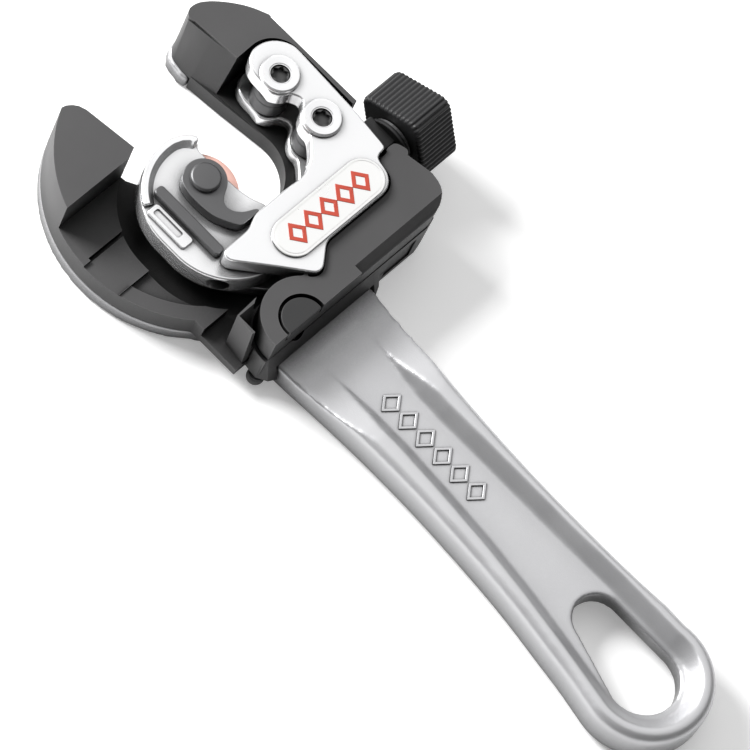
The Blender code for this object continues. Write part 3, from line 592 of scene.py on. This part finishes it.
def build_emboss():
    """Row of raised diamonds on the floor of the trough."""
    low, high = WEB_TOP - 0.6, WEB_TOP + 0.45
    row = diamond_ring(81.0, -2.6, 3.1, 4.0, 1.05, low, high)
    for i in range(1, 6):
        add(row, diamond_ring(81.0 + 6.7 * i, -2.6 - 0.08 * i, 3.1, 4.0, 1.05, low, high))
    soften(row, 0.22, 2)
    shaded(row, 40.0)
    return dress(row, "trough_motif", ALUMINIUM, "head_and_handle", "cast_aluminium")


build_casting()
build_emboss()


# --------------------------------------------------------------- head shell


def build_shell():
    """One moulding: jaw, floor, upper arm and the seat of the latch."""
    outline = arc(0.0, 0.0, HEAD_RADIUS, 207.0, 316.0, 3.0)
    outline += [(46.3, -28.3), (46.3, -23.3)]
    outline += arc(*LATCH_END, 13.2, 252.0, 274.0, 3.0)
    outline += [(51.5, 40.0), (50.6, 43.5), (48.4, 45.9), (45.2, 47.4), (42.0, 47.6)]
    tip = [(-18.7, 47.6), (-25.7, 44.3), (-30.7, 40.3), (-34.7, 35.8), (-36.2, 32.3)]
    tip += [(-35.7, 29.3), (-32.7, 27.8)]
    outline += eased(tip, 1.6, 2)[1:-1]
    outline += [(-15.7, 30.3), (-14.6, 27.4)]
    outline += arc(THROAT_X, THROAT_Y, THROAT_R, 90.0, -95.0, 4.0)
    outline += [(-8.5, -4.5), (-11.0, -9.6), (-13.7, -11.2), (-31.7, -13.7), (-33.8, -14.5)]
    outline += [(-35.2, -15.7), (-36.2, -17.2)]
    shell = prism(outline, SHELL_BASE, SHELL_TOP)

    skirt_line = [(-25.1, 25.6), (-14.0, 26.8)] + arc(THROAT_X, THROAT_Y, THROAT_R, 97.0, -78.0, 4.0)
    skirt_line += arc(THROAT_X, THROAT_Y, 15.8, -78.0, 90.0, 4.0) + [(-14.0, 28.7), (-25.1, 29.3)]
    skirt = prism(skirt_line, 0.3, 6.6)
    low_wall = prism([(48.3, 19.2), (51.5, 19.2), (51.5, 40.0), (50.6, 43.5), (48.3, 45.9)], 0.3, 6.6)
    heel = [(45.0, -23.6), (50.6, -24.3), (53.8, -22.4), (55.0, -20.0), (55.0, 19.0), (53.5, 22.0)]
    heel += [(50.5, 23.0), (50.5, -15.0), (45.0, -15.0)]
    heel_top = [(45.0, -23.4), (50.6, -23.8), (51.2, -22.6), (51.4, -20.0), (51.4, 19.0), (51.3, 21.5)]
    heel_top += [(50.5, 22.0), (50.5, -15.0), (45.0, -15.0)]
    nose = [(-35.9, 31.6), (-35.3, 28.9), (-34.2, 27.4), (-32.4, 26.3), (-28.6, 25.6), (-25.0, 25.6)]
    nose += [(-14.2, 27.6), (-14.0, 31.0), (-30.0, 34.0)]
    nose_top = [(-35.6, 31.8), (-35.3, 30.0), (-34.6, 28.9), (-33.8, 28.2), (-30.0, 28.6), (-25.5, 29.2)]
    nose_top += [(-16.2, 30.5), (-15.0, 32.0), (-30.0, 34.0)]
    heel = tapered(heel, SHELL_BASE, heel_top, LATCH_SEAT - 0.3)
    nose = tapered(nose, SHELL_BASE, nose_top, 24.5)
    add(shell, skirt, low_wall, heel, nose)

    low_floor = [(-14.0, -70.0), (33.0, -70.0), (33.0, -10.0), (38.9, 0.0), (38.9, 10.0), (-14.0, 5.0)]
    panels = prism(low_floor, PANEL_TOP, PAST)
    panel_two = block(-1.4, 10.8, -70.0, -20.0, PANEL_TOP - 0.9, 30.0)
    groove = block(-2.3, -1.2, -38.5, -20.0, PANEL_TOP - 3.0, 30.0)
    rim = [(10.8, -20.0)] + arc(0.0, 0.0, 36.6, 287.0, 320.0, 3.0) + [(30.0, -14.0)]
    panel_three = prism(rim, 10.6, 30.0)
    outer_three = block(10.9, 33.1, -70.0, -12.0, PANEL_TOP - 0.5, 30.0)
    pocket = arc(*SLIDE_LEFT, 24.9, 150.0, 270.0, 4.0) + arc(*SLIDE_RIGHT, 24.9, 270.0, 360.0, 4.0)
    pocket += [(38.9, 30.0), (-10.0, 30.0)]
    recess = [(-16.6, 20.0), (38.9, 20.0), (38.9, 45.6)] + arc(-7.9, 36.6, 9.0, 90.0, 180.0, 6.0)
    notch = block(13.6, 38.9, 40.0, 60.0, SHELL_FLOOR, PAST)
    cut(shell, panels, panel_two, groove, panel_three, outer_three)
    cut(shell, prism(pocket, SHELL_FLOOR, PAST), prism(recess, SHELL_FLOOR, PAST), notch)

    latch_room = [(28.0, 60.0), (28.0, 37.0), (37.0, 33.0), (37.0, -7.0)]
    latch_room += arc(*LATCH_END, 13.7, 166.0, 250.0, 4.0)
    latch_room += [(47.0, -60.0), (70.0, -60.0), (70.0, 60.0)]
    flange = [(32.9, -70.0), (46.4, -70.0), (46.4, -23.4), (41.0, -20.5), (38.0, -14.0)]
    flange += [(38.0, -5.0), (32.9, -5.0)]
    cut(shell, prism(latch_room, LATCH_SEAT, PAST), prism(flange, 8.6, PAST))
    cut(shell, block(43.3, 60.0, -19.9, 18.8, 0.0, 10.7))
    foot = [(36.2, -15.5), (38.9, -24.9), (46.1, -25.8), (46.1, -18.0), (41.0, -11.0)]
    crown = [(37.6, -16.0), (38.1, -24.4), (44.6, -25.2), (45.6, -20.0), (41.0, -14.0)]
    facet = tapered(foot, SHELL_BASE + 0.2, crown, 25.0)
    slope = [(38.6, 24.8), (45.8, 16.4), (48.0, 16.4), (48.0, 30.0), (38.6, 30.0)]
    slope = side_prism(slope, -24.2, -9.0)
    swing = prism(arc(*LATCH_END, 14.0, 0.0, 350.0, 10.0), LATCH_SEAT, PAST)
    cut(facet, slope, swing)
    add(shell, facet)
    side_panel = block(51.0, 53.0, 26.0, 37.0, 2.5, 12.5)
    pin_hole = hole(2.6, 11.0, 20.0, LATCH_X, LATCH_Y)
    spring_room = hole(5.4, 11.6, 20.0, LATCH_X, LATCH_Y)
    cut(shell, pin_hole, spring_room, side_panel)
    soften(shell, 0.35, 2, 40.0)
    shaded(shell, 30.0)
    return dress(shell, "moulded_head", PLASTIC, "head_and_handle", "black_plastic", "head_shell")


def build_plug():
    """Small round plug under the shell's round corner."""
    profile = [(0.0, 9.2), (0.85, 9.2), (0.85, 5.2), (2.0, 5.2), (2.3, 5.0)]
    profile += [(2.6 * math.cos(a / 8), 2.9 + 2.6 * math.sin(a / 8)) for a in range(5, -12, -1)]
    profile += [(0.0, 0.3)]
    plug = shaded(turned(profile, 49.9, -22.5), 40.0)
    dress(plug, "round_plug", KNOB, "head_and_handle", "knob_plastic", "barrel_plug")


build_shell()
build_plug()


# -------------------------------------------------------------- latch lever


def build_latch():
    """Lever beside the cutter, and the head of its pivot pin."""
    outline = [(34.0, 47.8), (31.2, 47.2), (29.6, 46.4), (29.2, 45.2), (29.2, 42.8)]
    outline += [(30.2, 42.6), (30.2, 39.6), (31.4, 38.7)]
    outline += [(34.8, 38.4), (36.6, 37.4), (38.3, 35.4), (38.9, 33.0)]
    outline += [(38.9, 9.9), (41.0, 7.1), (43.3, 4.3), (44.4, 2.2), (43.8, -0.2), (41.9, -1.9)]
    outline = eased(outline, 1.0, 2)
    outline += arc(*LATCH_END, 12.2, 139.0, 262.0, 4.0)
    outline += [(51.2, -22.9), (51.2, 40.0), (50.9, 41.8), (50.3, 43.6), (49.4, 44.9), (48.2, 46.0)]
    outline += [(46.8, 46.9), (45.2, 47.5), (42.5, 47.9)]
    lever = prism(outline, LATCH_BOTTOM, SHELL_TOP)
    seat = arc(*PIN_HEAD, 7.1, 75.0, 285.0, 5.0) + [(60.0, -17.4), (60.0, -4.6)]
    strip = side_prism([(52.5, 25.9), (52.5, 22.6), (50.6, 23.3), (48.0, 25.9)], 11.0, 45.6)
    cut(lever, prism(seat, SHELL_TOP - 4.3, PAST), hole(2.5, 10.0, 30.0, LATCH_X, LATCH_Y), strip)
    soften(lever, 0.45, 3, 40.0)
    shaded(lever, 30.0)
    dress(lever, "latch_arm", PLASTIC, "latch", "black_plastic", "latch_lever")

    head = prism(arc(*PIN_HEAD, 6.2, 80.0, 280.0, 5.0), SHELL_TOP - 4.0, SHELL_TOP - 0.25)
    soften(head, 0.35, 2, 60.0)
    add(head, hole(2.2, 11.3, SHELL_TOP - 3.0, LATCH_X, LATCH_Y))
    shaded(head, 30.0)
    dress(head, "latch_pin_head", LATCH_PIN, "latch", "knob_plastic", "latch_pivot_pin")


build_latch()


# ------------------------------------------------------------- cutter frame


def frame_outline(ear):
    """Outline of the cutter frame's plates, the front one with an ear."""
    outline = [(-15.0, 39.8), (-12.8, 42.7), (-10.0, 44.4), (-8.0, 44.8), (15.0, 43.9)]
    outline += [(28.2, 42.7), (29.0, 42.2), (29.2, 41.2), (29.4, 39.3), (30.4, 38.3), (33.6, 37.9)]
    outline += [(35.8, 36.9), (37.5, 35.3), (38.5, 32.8)]
    if ear:
        outline += [(38.5, 9.7), (40.4, 7.2), (42.6, 4.5), (43.6, 2.9), (43.6, 1.2), (42.8, 0.0)]
        outline += [(40.0, -2.4)]
    else:
        outline += [(38.5, -3.6)]
    outline += [(36.0, -5.9), (31.0, -10.5), (26.2, -15.0), (25.1, -15.6), (23.9, -15.6)]
    outline += [(22.8, -14.9), (22.4, -13.8), (22.3, -4.6), (20.9, -1.8), (20.2, 0.2), (20.2, 12.5)]
    outline += [(20.6, 17.0), (20.2, 19.6), (19.2, 21.9), (17.4, 24.6), (14.9, 27.0), (12.8, 28.6)]
    outline += arc(11.6, 34.6, 6.0, 270.0, 200.0, 7.0)
    outline += [(4.9, 34.2), (3.5, 34.8), (2.2, 34.3)]
    outline += arc(-5.2, 34.9, 6.1, 345.0, 290.0, 7.0)
    outline += [(-5.0, 29.6), (-10.6, 29.8), (-13.4, 31.0), (-15.2, 33.2), (-15.8, 36.0)]
    return eased(outline, 1.0, 2)


def build_frame():
    """Front plate, back plate and the bridge and boss between them."""
    front = soften(prism(frame_outline(True), FRAME_FRONT, FRAME_TOP), 1.15, 5, 60.0)
    back = soften(prism(frame_outline(False), FRAME_BACK, FRAME_BACK_TOP), 0.8, 3, 60.0)
    bridge = [(34.9, 8.0), (38.0, 8.0), (38.0, 32.5), (35.4, 35.6), (33.0, 37.2), (28.8, 38.0)]
    bridge += [(28.4, 42.2), (19.0, 43.0), (19.0, 33.4), (34.9, 33.4)]
    add(front, prism(bridge, FRAME_BACK_TOP - 1.0, FRAME_FRONT + 1.0), back)
    groove = block(19.0, 22.4, -5.2, 16.5, FRAME_FRONT - 1.0, 23.9)
    cut(front, groove, hole_y(2.6, 0.0, 60.0), hole_y(4.8, 20.0, 37.2))
    for x, y in ROLLER_AXES:
        cut(front, hole(2.4, 5.0, 30.0, x, y))
    shaded(front, 40.0)
    return dress(front, "chrome_frame", CHROME, "cutter", "satin_chrome", "cutter_frame")


def pill(radius):
    """Outline of the badge, or of a smaller pill inside it."""
    outline = arc(BADGE_X, BADGE_UPPER_Y, radius, 0.0, 180.0, 6.0)
    return outline + arc(BADGE_X, BADGE_LOWER_Y, radius, 180.0, 360.0, 6.0)


def build_badge():
    """Pill-shaped badge with a fine groove round it and a red row of diamonds."""
    badge = soften(prism(pill(6.1), FRAME_TOP + 0.3, FRAME_TOP + 0.8), 0.22, 3, 60.0)
    ring = prism(pill(5.4), FRAME_TOP + 0.66, FRAME_TOP + 2.0)
    cut(ring, prism(pill(5.15), FRAME_TOP, FRAME_TOP + 3.0))
    cut(badge, ring)
    shaded(badge, 40.0)
    dress(badge, "badge", BADGE, "cutter", "badge", "badge_plate")
    low, high = FRAME_TOP + 0.6, FRAME_TOP + 0.95
    red = diamond_ring(BADGE_X, 4.4, 3.9, 3.15, 1.5, low, high)
    for i in range(1, 5):
        add(red, diamond_ring(BADGE_X, 4.4 + 6.2 * i, 3.9, 3.15, 1.5, low, high))
    soften(red, 0.1, 2)
    shaded(red, 40.0)
    dress(red, "badge_motif", MOTIF_RED, "cutter", "badge")


build_frame()
build_badge()


def build_roller(number, x, y):
    """Shouldered screw with a star socket filled with painted shade, and the roller on it."""
    profile = [(0.0, 27.9), (2.9, 27.9), (3.1, 27.95), (3.25, 28.1), (4.7, 28.35), (5.3, 28.3)]
    profile += [(5.65, 28.05), (5.8, 27.7), (5.8, 27.3), (2.0, 27.3), (2.0, 7.6), (0.0, 7.6)]
    screw = turned(profile, x, y)
    star = []
    for i in range(72):
        a = math.radians(i * 5.0)
        r = 2.25 + 0.32 * math.cos(6 * a)
        star.append((x + r * math.cos(a), y + r * math.sin(a)))
    cut(screw, hole(2.85, 25.4, 40.0, x, y))
    shaded(screw, 30.0)
    dress(screw, "screw_head_%d" % number, CHROME, "cutter", "satin_chrome", "roller_screw_%d" % number)
    # Painted shade: a dark cup fills the socket so that the star recess looks deep and in shade.
    cup = turned([(0.0, 27.5), (2.6, 27.5), (2.8, 27.3), (2.8, 25.45), (0.0, 25.45)], x, y)
    cut(cup, prism(star, 26.2, 40.0))
    shaded(cup, 30.0)
    dress(cup, "socket_shade_%d" % number, PAINTED_SOCKET_SHADE, "cutter", "dark_steel")

    profile = [(2.3, 21.0), (4.6, 21.0), (5.05, 20.9), (5.3, 20.5), (5.3, 18.2), (5.15, 18.0)]
    profile += [(5.15, 17.6), (5.3, 17.4), (5.3, 12.6), (5.05, 12.2), (4.6, 12.1), (2.3, 12.1)]
    roller = shaded(turned(profile, x, y), 40.0)
    body = "roller_one" if number == 1 else "roller_two"
    dress(roller, "tube_roller_%d" % number, ROLLER, body, "dark_steel", "roller_%d" % number)


for number, (rx, ry) in enumerate(ROLLER_AXES, 1):
    build_roller(number, rx, ry)


def build_collar():
    """Neck of the cutter, under the knob."""
    profile = [(0.0, 49.8), (7.2, 49.8), (7.75, 49.6), (8.0, 49.1), (8.0, 48.6), (7.8, 48.4)]
    profile += [(0.0, 48.4)]
    collar = turned(profile, SCREW_X, 0.0, SCREW_Z, "Y")
    neck = soften(block(18.6, 28.7, 44.3, 48.9, 10.0, 22.2), 0.6, 3, 60.0)
    add(collar, neck)
    cut(collar, hole_y(2.6, 40.0, 60.0))
    shaded(collar, 30.0)
    dress(collar, "neck_collar", KNOB, "cutter", "knob_plastic", "knob_collar")


build_collar()


# --------------------------------------------------------------------- knob


def build_knob():
    """Rounded square knob with fine ribs along its length."""
    inset = KNOB_HALF - KNOB_CORNER
    path = []
    for cx, cy, a in ((1, 1, 0), (-1, 1, 90), (-1, -1, 180), (1, -1, 270)):
        path += arc(cx * inset, cy * inset, KNOB_CORNER, a, a + 90.0, 3.0)
    dense = []
    count = len(path)
    for i, (x, y) in enumerate(path):
        nx, ny = path[(i + 1) % count]
        length = math.hypot(nx - x, ny - y)
        parts = max(1, round(length / 0.16))
        dense += [(x + (nx - x) * k / parts, y + (ny - y) * k / parts) for k in range(parts)]
    total = 0.0
    places = [0.0]
    for i, (x, y) in enumerate(dense):
        nx, ny = dense[(i + 1) % len(dense)]
        total += math.hypot(nx - x, ny - y)
        places.append(total)
    ribs = round(total / RIB_PITCH)
    outline = []
    for i, (x, y) in enumerate(dense):
        px, py = dense[i - 1]
        nx, ny = dense[(i + 1) % len(dense)]
        tx, ty = nx - px, ny - py
        length = math.hypot(tx, ty)
        wave = 0.5 + 0.5 * math.cos(2 * math.pi * ribs * places[i] / total)
        dip = RIB_DEPTH * (1.0 - wave) ** 1.5
        outline.append((x - ty / length * dip, y + tx / length * dip))
    body = prism(outline, KNOB_BACK, KNOB_FRONT, centred=True)
    bm = bmesh.new()
    bm.from_mesh(body.data)
    front_rim = (KNOB_FRONT, ((0.97, 64.75), (0.90, 65.0)))
    back_rim = (KNOB_BACK, ((0.965, 51.5), (0.89, 51.05)))
    for z, steps in (front_rim, back_rim):
        reached = 1.0
        for scale, height in steps:
            ends = [f for f in bm.faces if len(f.verts) > 20]
            face = [f for f in ends if abs(f.calc_center_median().z - z * MM) < 1e-5][0]
            made = bmesh.ops.extrude_face_region(bm, geom=[face])["geom"]
            bmesh.ops.delete(bm, geom=[face], context="FACES_ONLY")
            for vert in made:
                if isinstance(vert, bmesh.types.BMVert):
                    vert.co.x *= scale / reached
                    vert.co.y *= scale / reached
                    vert.co.z = height * MM
            reached = scale
            z = height
    bmesh.ops.recalc_face_normals(bm, faces=bm.faces)
    bm.to_mesh(body.data)
    bm.free()
    body.data.transform(Matrix.Rotation(math.radians(KNOB_ANGLE), 4, "Z"))
    body.data.transform(Matrix.Rotation(math.radians(-90.0), 4, "X"))
    shift = ((SCREW_X - CENTRE_X) * MM, -CENTRE_Y * MM, SCREW_Z * MM)
    body.data.transform(Matrix.Translation(shift))
    cut(body, hole_y(2.5, 40.0, 60.6))
    shaded(body, 50.0)
    dress(body, "ribbed_knob", KNOB, "knob", "knob_plastic", "feed_knob")


build_knob()


# -------------------------------------------------------------------- slide


def build_slide():
    """Carrier plate with its rim, its tab and the room for the wheel."""
    outline = [(-5.0, 4.3), (-6.0, 5.6), (-7.4, 6.3), (-9.2, 5.4), (-10.8, 3.2)]
    outline += arc(*SLIDE_LEFT, 20.2, 172.0, 270.0, 4.0) + arc(*SLIDE_RIGHT, 20.2, 270.0, 360.0, 4.0)
    outline += [(34.2, 3.0), (32.6, 6.2), (30.0, 7.2), (18.4, 7.2), (15.4, 5.6), (11.0, 4.6)]
    outline += [(4.0, 4.2)]
    body = soften(prism(eased(outline, 0.8, 2), SLIDE_BACK, SLIDE_TOP), 0.7, 4, 60.0)
    outer = [(-6.3, 5.8), (-7.6, 6.2), (-9.2, 5.1), (-10.7, 2.9)]
    outer += arc(*SLIDE_LEFT, 20.0, 172.0, 240.0, 4.0)
    inner = arc(*SLIDE_LEFT, 18.1, 240.0, 172.0, 4.0) + [(-9.1, 2.1), (-7.9, 3.7), (-6.4, 4.5)]
    foot = arc(*SLIDE_LEFT, 16.2, 240.0, 172.0, 4.0) + [(-7.4, 1.2), (-6.4, 2.3), (-5.4, 3.0)]
    rim = soften(tapered(outer + foot, SLIDE_TOP - 0.2, outer + inner, 22.5), 0.5, 4, 60.0)
    tab = eased([(-0.3, -16.3), (-0.3, -20.6), (14.2, -20.6), (14.2, -16.3)], 0.6, 3)
    tab = soften(prism(tab, SLIDE_TOP - 1.0, 21.9), 0.3, 3, 60.0)
    add(body, rim, tab)
    window = eased([(1.0, -17.3), (1.0, -19.5), (11.0, -19.5), (11.0, -17.3)], 0.4, 3)
    cut(body, prism(window, 21.3, 23.0))
    cut(body, hole(11.4, WHEEL_PLANE - 1.9, WHEEL_PLANE + 1.9, WHEEL_X, WHEEL_Y, 96))
    cut(body, hole(2.6, SLIDE_BACK + 0.5, 30.0, WHEEL_X, WHEEL_Y), hole_y(2.6, -30.0, 20.0))
    cut(body, block(SCREW_X - 4.6, SCREW_X + 4.6, -0.3, 5.3, 0.0, SCREW_Z + 3.3))
    shaded(body, 35.0)
    return dress(body, "wheel_carrier", CHROME, "slide", "satin_chrome", "slide_body")


def build_arm():
    """Hooked arm that holds the front end of the wheel pin."""
    outline = arc(WHEEL_X, WHEEL_Y, 6.2, 48.0, 215.0, 4.0)
    outline += [(-0.9, -7.3), (1.0, -8.6), (4.7, -9.3), (9.7, -9.2), (13.2, -8.6), (17.0, -6.7)]
    outline += [(20.0, -4.6)]
    outline += [(20.0, 2.6), (18.9, 2.4), (17.9, -0.3), (16.6, -2.3), (14.8, -3.6), (13.0, -3.9)]
    outline += [(11.3, -3.1), (10.1, -1.2), (9.0, 0.9)]
    arm = soften(prism(eased(outline, 0.8, 2), SLIDE_TOP + 0.3, 25.0), 0.6, 4, 60.0)
    cut(arm, hole(2.7, 10.0, 30.0, WHEEL_X, WHEEL_Y))
    shaded(arm, 35.0)
    dress(arm, "hooked_arm", STEEL, "slide", "dark_steel", "wheel_arm")

    bar = eased([(-3.2, -12.2), (-3.2, -15.6), (21.8, -15.6), (21.8, -12.2)], 0.7, 3)
    bar = soften(prism(bar, SLIDE_TOP + 0.3, 23.5), 0.5, 4, 60.0)
    shaded(bar, 35.0)
    dress(bar, "guide_bar", STEEL, "slide", "dark_steel", "slide_bar")


def build_wheel():
    """Cutting wheel, and the headed pin that it turns on."""
    half = [(2.65, 1.55), (4.9, 1.55), (5.2, 1.3), (5.6, 1.15), (9.2, 0.78), (10.8, 0.06)]
    profile = half + [(r, -h) for r, h in reversed(half)]
    profile = [(r, WHEEL_PLANE + h) for r, h in profile]
    wheel = shaded(turned(profile, WHEEL_X, WHEEL_Y, steps=96), 25.0)
    dress(wheel, "cutting_wheel", WHEEL, "wheel", "wheel_steel", "cutter_wheel")

    profile = [(0.0, 26.6), (3.6, 26.6), (4.0, 26.5), (4.3, 26.2), (4.4, 25.9), (4.4, 25.3)]
    profile += [(2.35, 25.3), (2.35, 15.0), (2.05, 14.7), (0.0, 14.7)]
    pin = shaded(turned(profile, WHEEL_X, WHEEL_Y), 35.0)
    dress(pin, "pin_head", STEEL, "pin", "dark_steel", "wheel_pin")


build_slide()
build_arm()
build_wheel()


# --------------------------------------------------- materials of CAD nodes

CAD_MATERIALS = {
    "feed_screw": STEEL, "thrust_washer": STEEL, "spring_washer": STEEL, "knob_pin": SPRING,
    "feed_spring": SPRING, "latch_spring": SPRING, "feed_nut": ZINC,
    "shell_screw_1": ZINC, "shell_screw_2": ZINC, "shell_screw_3": ZINC, "shell_screw_4": ZINC,
}
for cad_name, mat in CAD_MATERIALS.items():
    cad_mesh = nodes[cad_name].data
    for i in range(max(1, len(cad_mesh.materials))):
        if i < len(cad_mesh.materials):
            cad_mesh.materials[i] = mat
        else:
            cad_mesh.materials.append(mat)


# --------------------------------------------------- floor, light and camera

bpy.ops.mesh.primitive_plane_add(size=6.0, location=(0.0, 0.0, -0.0004))
floor = bpy.context.object
floor.name = "floor"
floor_mat = bpy.data.materials.new("pale_floor")
floor_mat.use_nodes = True
floor_shader = floor_mat.node_tree.nodes["Principled BSDF"]
floor_shader.inputs["Base Color"].default_value = (0.9, 0.9, 0.9, 1.0)
floor_shader.inputs["Roughness"].default_value = 0.9
floor_shader.inputs["Emission Color"].default_value = (1.0, 1.0, 1.0, 1.0)
floor_shader.inputs["Emission Strength"].default_value = 0.3
floor.data.materials.append(floor_mat)

RIGHT = Vector((0.6945, 0.6815, 0.2305)).normalized()
TO_CAMERA = Vector((0.145, -0.446, 0.883)).normalized()
UP = TO_CAMERA.cross(RIGHT).normalized()
RIGHT = UP.cross(TO_CAMERA).normalized()


def build_world():
    """Dim room with a wide bright ceiling and a soft glow on its left."""
    world = bpy.data.worlds.new("studio")
    scene.world = world
    world.use_nodes = True
    tree = world.node_tree
    background = tree.nodes["Background"]
    background.inputs["Color"].default_value = (1.0, 1.0, 1.0, 1.0)
    where = node(tree, "ShaderNodeTexCoord")
    total = None
    glows = (((-0.145, 0.446, 0.883), 0.62, 0.95, 0.92), ((-0.95, -0.3, 0.1), 0.5, 0.97, 0.35))
    for direction, start, end, strength in glows:
        dot = node(tree, "ShaderNodeVectorMath", operation="DOT_PRODUCT")
        tree.links.new(where.outputs["Generated"], dot.inputs[0])
        dot.inputs[1].default_value = Vector(direction).normalized()
        ramp = node(tree, "ShaderNodeMapRange", interpolation_type="SMOOTHSTEP")
        ramp.inputs["From Min"].default_value = start
        ramp.inputs["From Max"].default_value = end
        ramp.inputs["To Min"].default_value = 0.0
        ramp.inputs["To Max"].default_value = strength
        tree.links.new(dot.outputs["Value"], ramp.inputs["Value"])
        if total is None:
            total = ramp.outputs["Result"]
            continue
        both = node(tree, "ShaderNodeMath", operation="ADD")
        tree.links.new(total, both.inputs[0])
        tree.links.new(ramp.outputs["Result"], both.inputs[1])
        total = both.outputs["Value"]
    floor_level = node(tree, "ShaderNodeMath", operation="ADD")
    floor_level.inputs[1].default_value = 0.1
    tree.links.new(total, floor_level.inputs[0])
    tree.links.new(floor_level.outputs["Value"], background.inputs["Strength"])


def softbox(name, direction, distance, size, energy):
    """Square area light that faces the tool."""
    data = bpy.data.lights.new(name, "AREA")
    data.shape = "RECTANGLE"
    data.size, data.size_y = size
    data.energy = energy
    lamp = bpy.data.objects.new(name, data)
    scene.collection.objects.link(lamp)
    where = Vector(direction).normalized() * distance
    lamp.location = where
    lamp.rotation_euler = (-where).to_track_quat("-Z", "Y").to_euler()


build_world()
scene.view_settings.view_transform = "Standard"
softbox("key_box", (-0.78, -0.2, 0.55), 1.2, (0.45, 0.45), 24.0)

LENS = 300.0
SENSOR = 36.0
WIDTH = 0.2055  # metres seen across the picture
VIEW_RIGHT, VIEW_DOWN = 52.4, 46.85  # centre of the picture, from the round head's centre
camera_data = bpy.data.cameras.new("camera")
camera_data.lens = LENS
camera_data.sensor_width = SENSOR
camera_data.clip_end = 20.0
camera = bpy.data.objects.new("camera", camera_data)
scene.collection.objects.link(camera)
target = RIGHT * (VIEW_RIGHT * MM) - UP * (VIEW_DOWN * MM) - Vector((CENTRE_X, CENTRE_Y, 0.0)) * MM
basis = Matrix((RIGHT, UP, TO_CAMERA)).transposed().to_4x4()
camera.matrix_world = Matrix.Translation(target + TO_CAMERA * (LENS * WIDTH / SENSOR)) @ basis
scene.camera = camera
